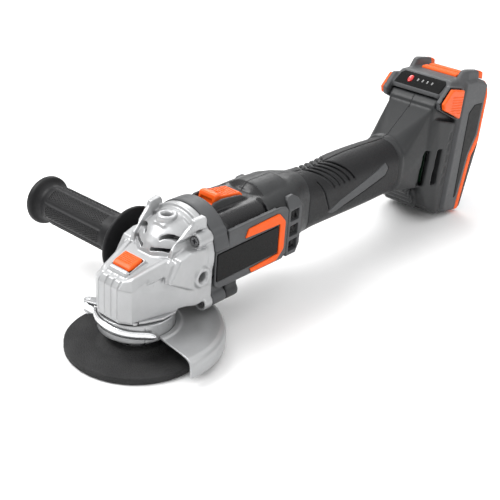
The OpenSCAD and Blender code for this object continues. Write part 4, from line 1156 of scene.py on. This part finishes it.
def release_button(side, tag):
    outline = [(-3.2, 109.4), (-37.6, 123.2), (-40, 129.4), (-27.2, 142.4), (-3.6, 138.8)]

    def solids(bm):
        prism(bm, outline, "y", *span(side, 34, 38.3), inset=1.1, matrix=PACK)

    def cuts(bm):
        for i in range(7):
            w = 118 + i * 2.7
            hull(bm, [(u, side * v, w + dw - (u + 26) * 0.1) for u in (-26, -6) for v in (37.6, 40)
                for dw in (0, 1.1)], PACK)

    moulded("release_button_cap_" + tag, solids, "release_" + tag, "orange_plastic", ORANGE_PLASTIC,
            ["release_button_" + tag], cut=cuts, voxel=0.5, soften=2)


for button_side, button_tag in SIDES:
    release_button(button_side, button_tag)

PACK_LABEL = [(20, 18), (17, 112), (26, 120), (42, 120), (42, 86), (31.5, 66), (24.5, 20)]
moulded("battery_label_pair", lambda bm: [prism(bm, shrunk(PACK_LABEL, 0.3), "y", *span(side, 35, 36.4),
                                                inset=0.4, matrix=PACK) for side in (1, -1)],
        "battery", "black_plastic", BLACK, ["battery_labels"], voxel=0.5, soften=2)


GAUGE_SLOPE = Matrix.Rotation(-math.radians(35.05), 4, "Y")
KEY_PLACE = PACK @ Matrix.Translation((-27, 12, 141)) @ GAUGE_SLOPE


def gauge_solids(bm):
    hull(bm, [(-19.9, -24, 146.2), (-19.9, 24, 146.2), (-20.4, -23.5, 146.9), (-20.4, 23.5, 146.9),
        (-33.9, -26.6, 136.0), (-33.9, 26.6, 136.0), (-34.6, -26.4, 136.6), (-34.6, 26.4, 136.6),
        (-23, -26.6, 144), (-23, 26.6, 144), (-23.5, -26.2, 144.8), (-23.5, 26.2, 144.8)], PACK)


def gauge_cuts(bm):
    rod(bm, "z", (0, 0, 0), 3.3, -5, 5, matrix=KEY_PLACE @ Matrix.Diagonal((1.55, 1, 1, 1)))


moulded("gauge_window", gauge_solids, "battery", "panel_gloss", GLOSS, ["gauge_panel"], cut=gauge_cuts,
    voxel=0.4, soften=1)


def gauge_details():
    """The gauge's red key and its four lamps."""
    def key(bm):
        turned(bm, [(0, -0.4), (2.5, -0.4), (2.9, 0), (2.9, 1.1), (2.5, 1.55), (1.4, 1.75), (0, 1.8)], "z",
               (0, 0, 0), 48, matrix=KEY_PLACE @ Matrix.Diagonal((1.6, 0.95, 1, 1)))

    finish_piece(solid_object("gauge_key_cap", key), "gauge_key", "red_plastic", RED, "gauge_button")

    def lamps(bm):
        for i in range(4):
            place_at = PACK @ Matrix.Translation((-27, 3.5 - 5.5 * i, 142.19)) @ GAUGE_SLOPE
            block(bm, (-1.7, 1.7), (-0.8, 0.8), (-0.3, 0.3), 0.12, place_at)

    finish_piece(solid_object("gauge_lamps", lamps), "battery", "panel_gloss", LAMP)


gauge_details()


def top_bar_solids(bm):
    """Soft bars across the top, and the soft ends of the two lugs."""
    for u in (4.2, 17.2):
        prism(bm, [(u, 146.7), (u, 148.8), (u + 1.4, 150), (u + 8.6, 150), (u + 10.6, 148.6),
            (u + 10.6, 146.7)], "y", -20.8, 20.8, 0.9, PACK)
    for side in (-1, 1):
        prism(bm, [(30.1, 146.5), (30.1, 153.6), (33, 153.2), (37.3, 151.4), (39.3, 143.9)], "y",
              *span(side, 25.2, 32.2), inset=0.8, matrix=PACK)


moulded("battery_top_bars", top_bar_solids, "battery", "orange_rubber", ORANGE_RUBBER, voxel=0.6, soften=2)


# ---------- side handle ----------

HANDLE_STRIPS = 6


def handle_solids(bm):
    turned(bm, [(0, 34.8), (10.6, 34.8), (11.4, 35.6), (12.3, 43.6), (14, 44.9), (27, 45.6), (30.9, 46.3),
        (31.7, 47.4), (31.7, 48.6), (30.9, 49.6), (24, 51.2), (18.4, 53.4), (15.9, 56.4), (15.2, 60),
        (15.6, 64), (16.6, 68), (16.9, 73), (16.9, 138), (16.4, 144), (15.4, 148.6), (15.6, 151.4),
        (17.8, 154), (21, 155.6), (22, 157), (22, 160), (21, 161.6), (19.4, HANDLE_END - 0.4),
        (14, HANDLE_END - 0.1), (0, HANDLE_END)], "y", SIDE_THREAD, 128)


def handle_cuts(bm):
    rod(bm, "y", SIDE_THREAD, 4.05, 30, 72)
    # Shallow flats between the knurled strips
    for k in range(HANDLE_STRIPS):
        a = TURN * (k + 0.5) / HANDLE_STRIPS
        ring = [(HANDLE_X + r * math.cos(t), HANDLE_Z + r * math.sin(t)) for t in (a - 0.12, a + 0.12)
            for r in (15.9, 20)]
        hull(bm, [(x, y, z) for x, z in ring for y in (70, 146)])


def knurled_strips(bm):
    """Rows of small studs on the strips of the grip."""
    rows, columns = 34, 5
    ends = ((-0.95, 0), (0, -0.95), (0.95, 0), (0, 0.95))
    for k in range(HANDLE_STRIPS):
        for i in range(rows):
            for j in range(columns):
                a = TURN * k / HANDLE_STRIPS + (j - (columns - 1) / 2 + 0.5 * (i % 2) - 0.25) * 0.125
                out, along = Vector((math.cos(a), 0, math.sin(a))), Vector((-math.sin(a), 0, math.cos(a)))
                foot = Vector((HANDLE_X, 73 + i * 2.05, HANDLE_Z)) + out * 16.5
                corners = [foot + along * du + Vector((0, dv, 0)) for du, dv in ends]
                top = [foot + out * 1.15 + along * du * 0.45 + Vector((0, dv * 0.45, 0)) for du, dv in ends]
                skin(bm, [corners, top])


moulded("side_handle_grip", handle_solids, "side_handle", "grip_rubber", RUBBER, ["handle_grip"],
    cut=handle_cuts, voxel=0.9, soften=2)
finish_piece(solid_object("side_handle_knurls", knurled_strips), "side_handle", "grip_rubber", RUBBER)


# ---------- nodes that stay as the CAD made them ----------

EDGE_WIDTH = 0.2
SHARP = math.radians(40)
# The nodes that take each finish
KEPT = {
    SCREW: ["gear_case_screws", "bearing_cap_screws", "clamp_bolt", "housing_screws", "handle_stud"],
    TOOL: ["spindle", "lower_bearing", "crown_gear", "inner_flange", "clamp_nut", "lock_pin", "lock_spring",
           "pinion", "motor_shaft", "front_bearing", "rear_bearing", "release_springs"],
    PLATED: ["lever_pin"],
    BRASS: ["upper_bush"],
    BLACK: ["fan", "switch_rod", "switch_body", "terminal_block"],
    COPPER: ["armature", "commutator"],
    MOTOR: ["motor_can"],
    FERRITE: ["magnets"],
    GREY: ["brush_holders"],
    CARBON: ["brushes"],
    BOARD: ["controller", "battery_board"],
    WRAP: ["battery_cells"],
}
for material, names in KEPT.items():
    for name in names:
        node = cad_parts[name]
        node.data.materials.clear()
        node.data.materials.append(material)
        edges = node.modifiers.new("edges", "BEVEL")
        edges.width = EDGE_WIDTH * MM
        edges.segments = 2
        edges.limit_method = "ANGLE"
        edges.angle_limit = SHARP
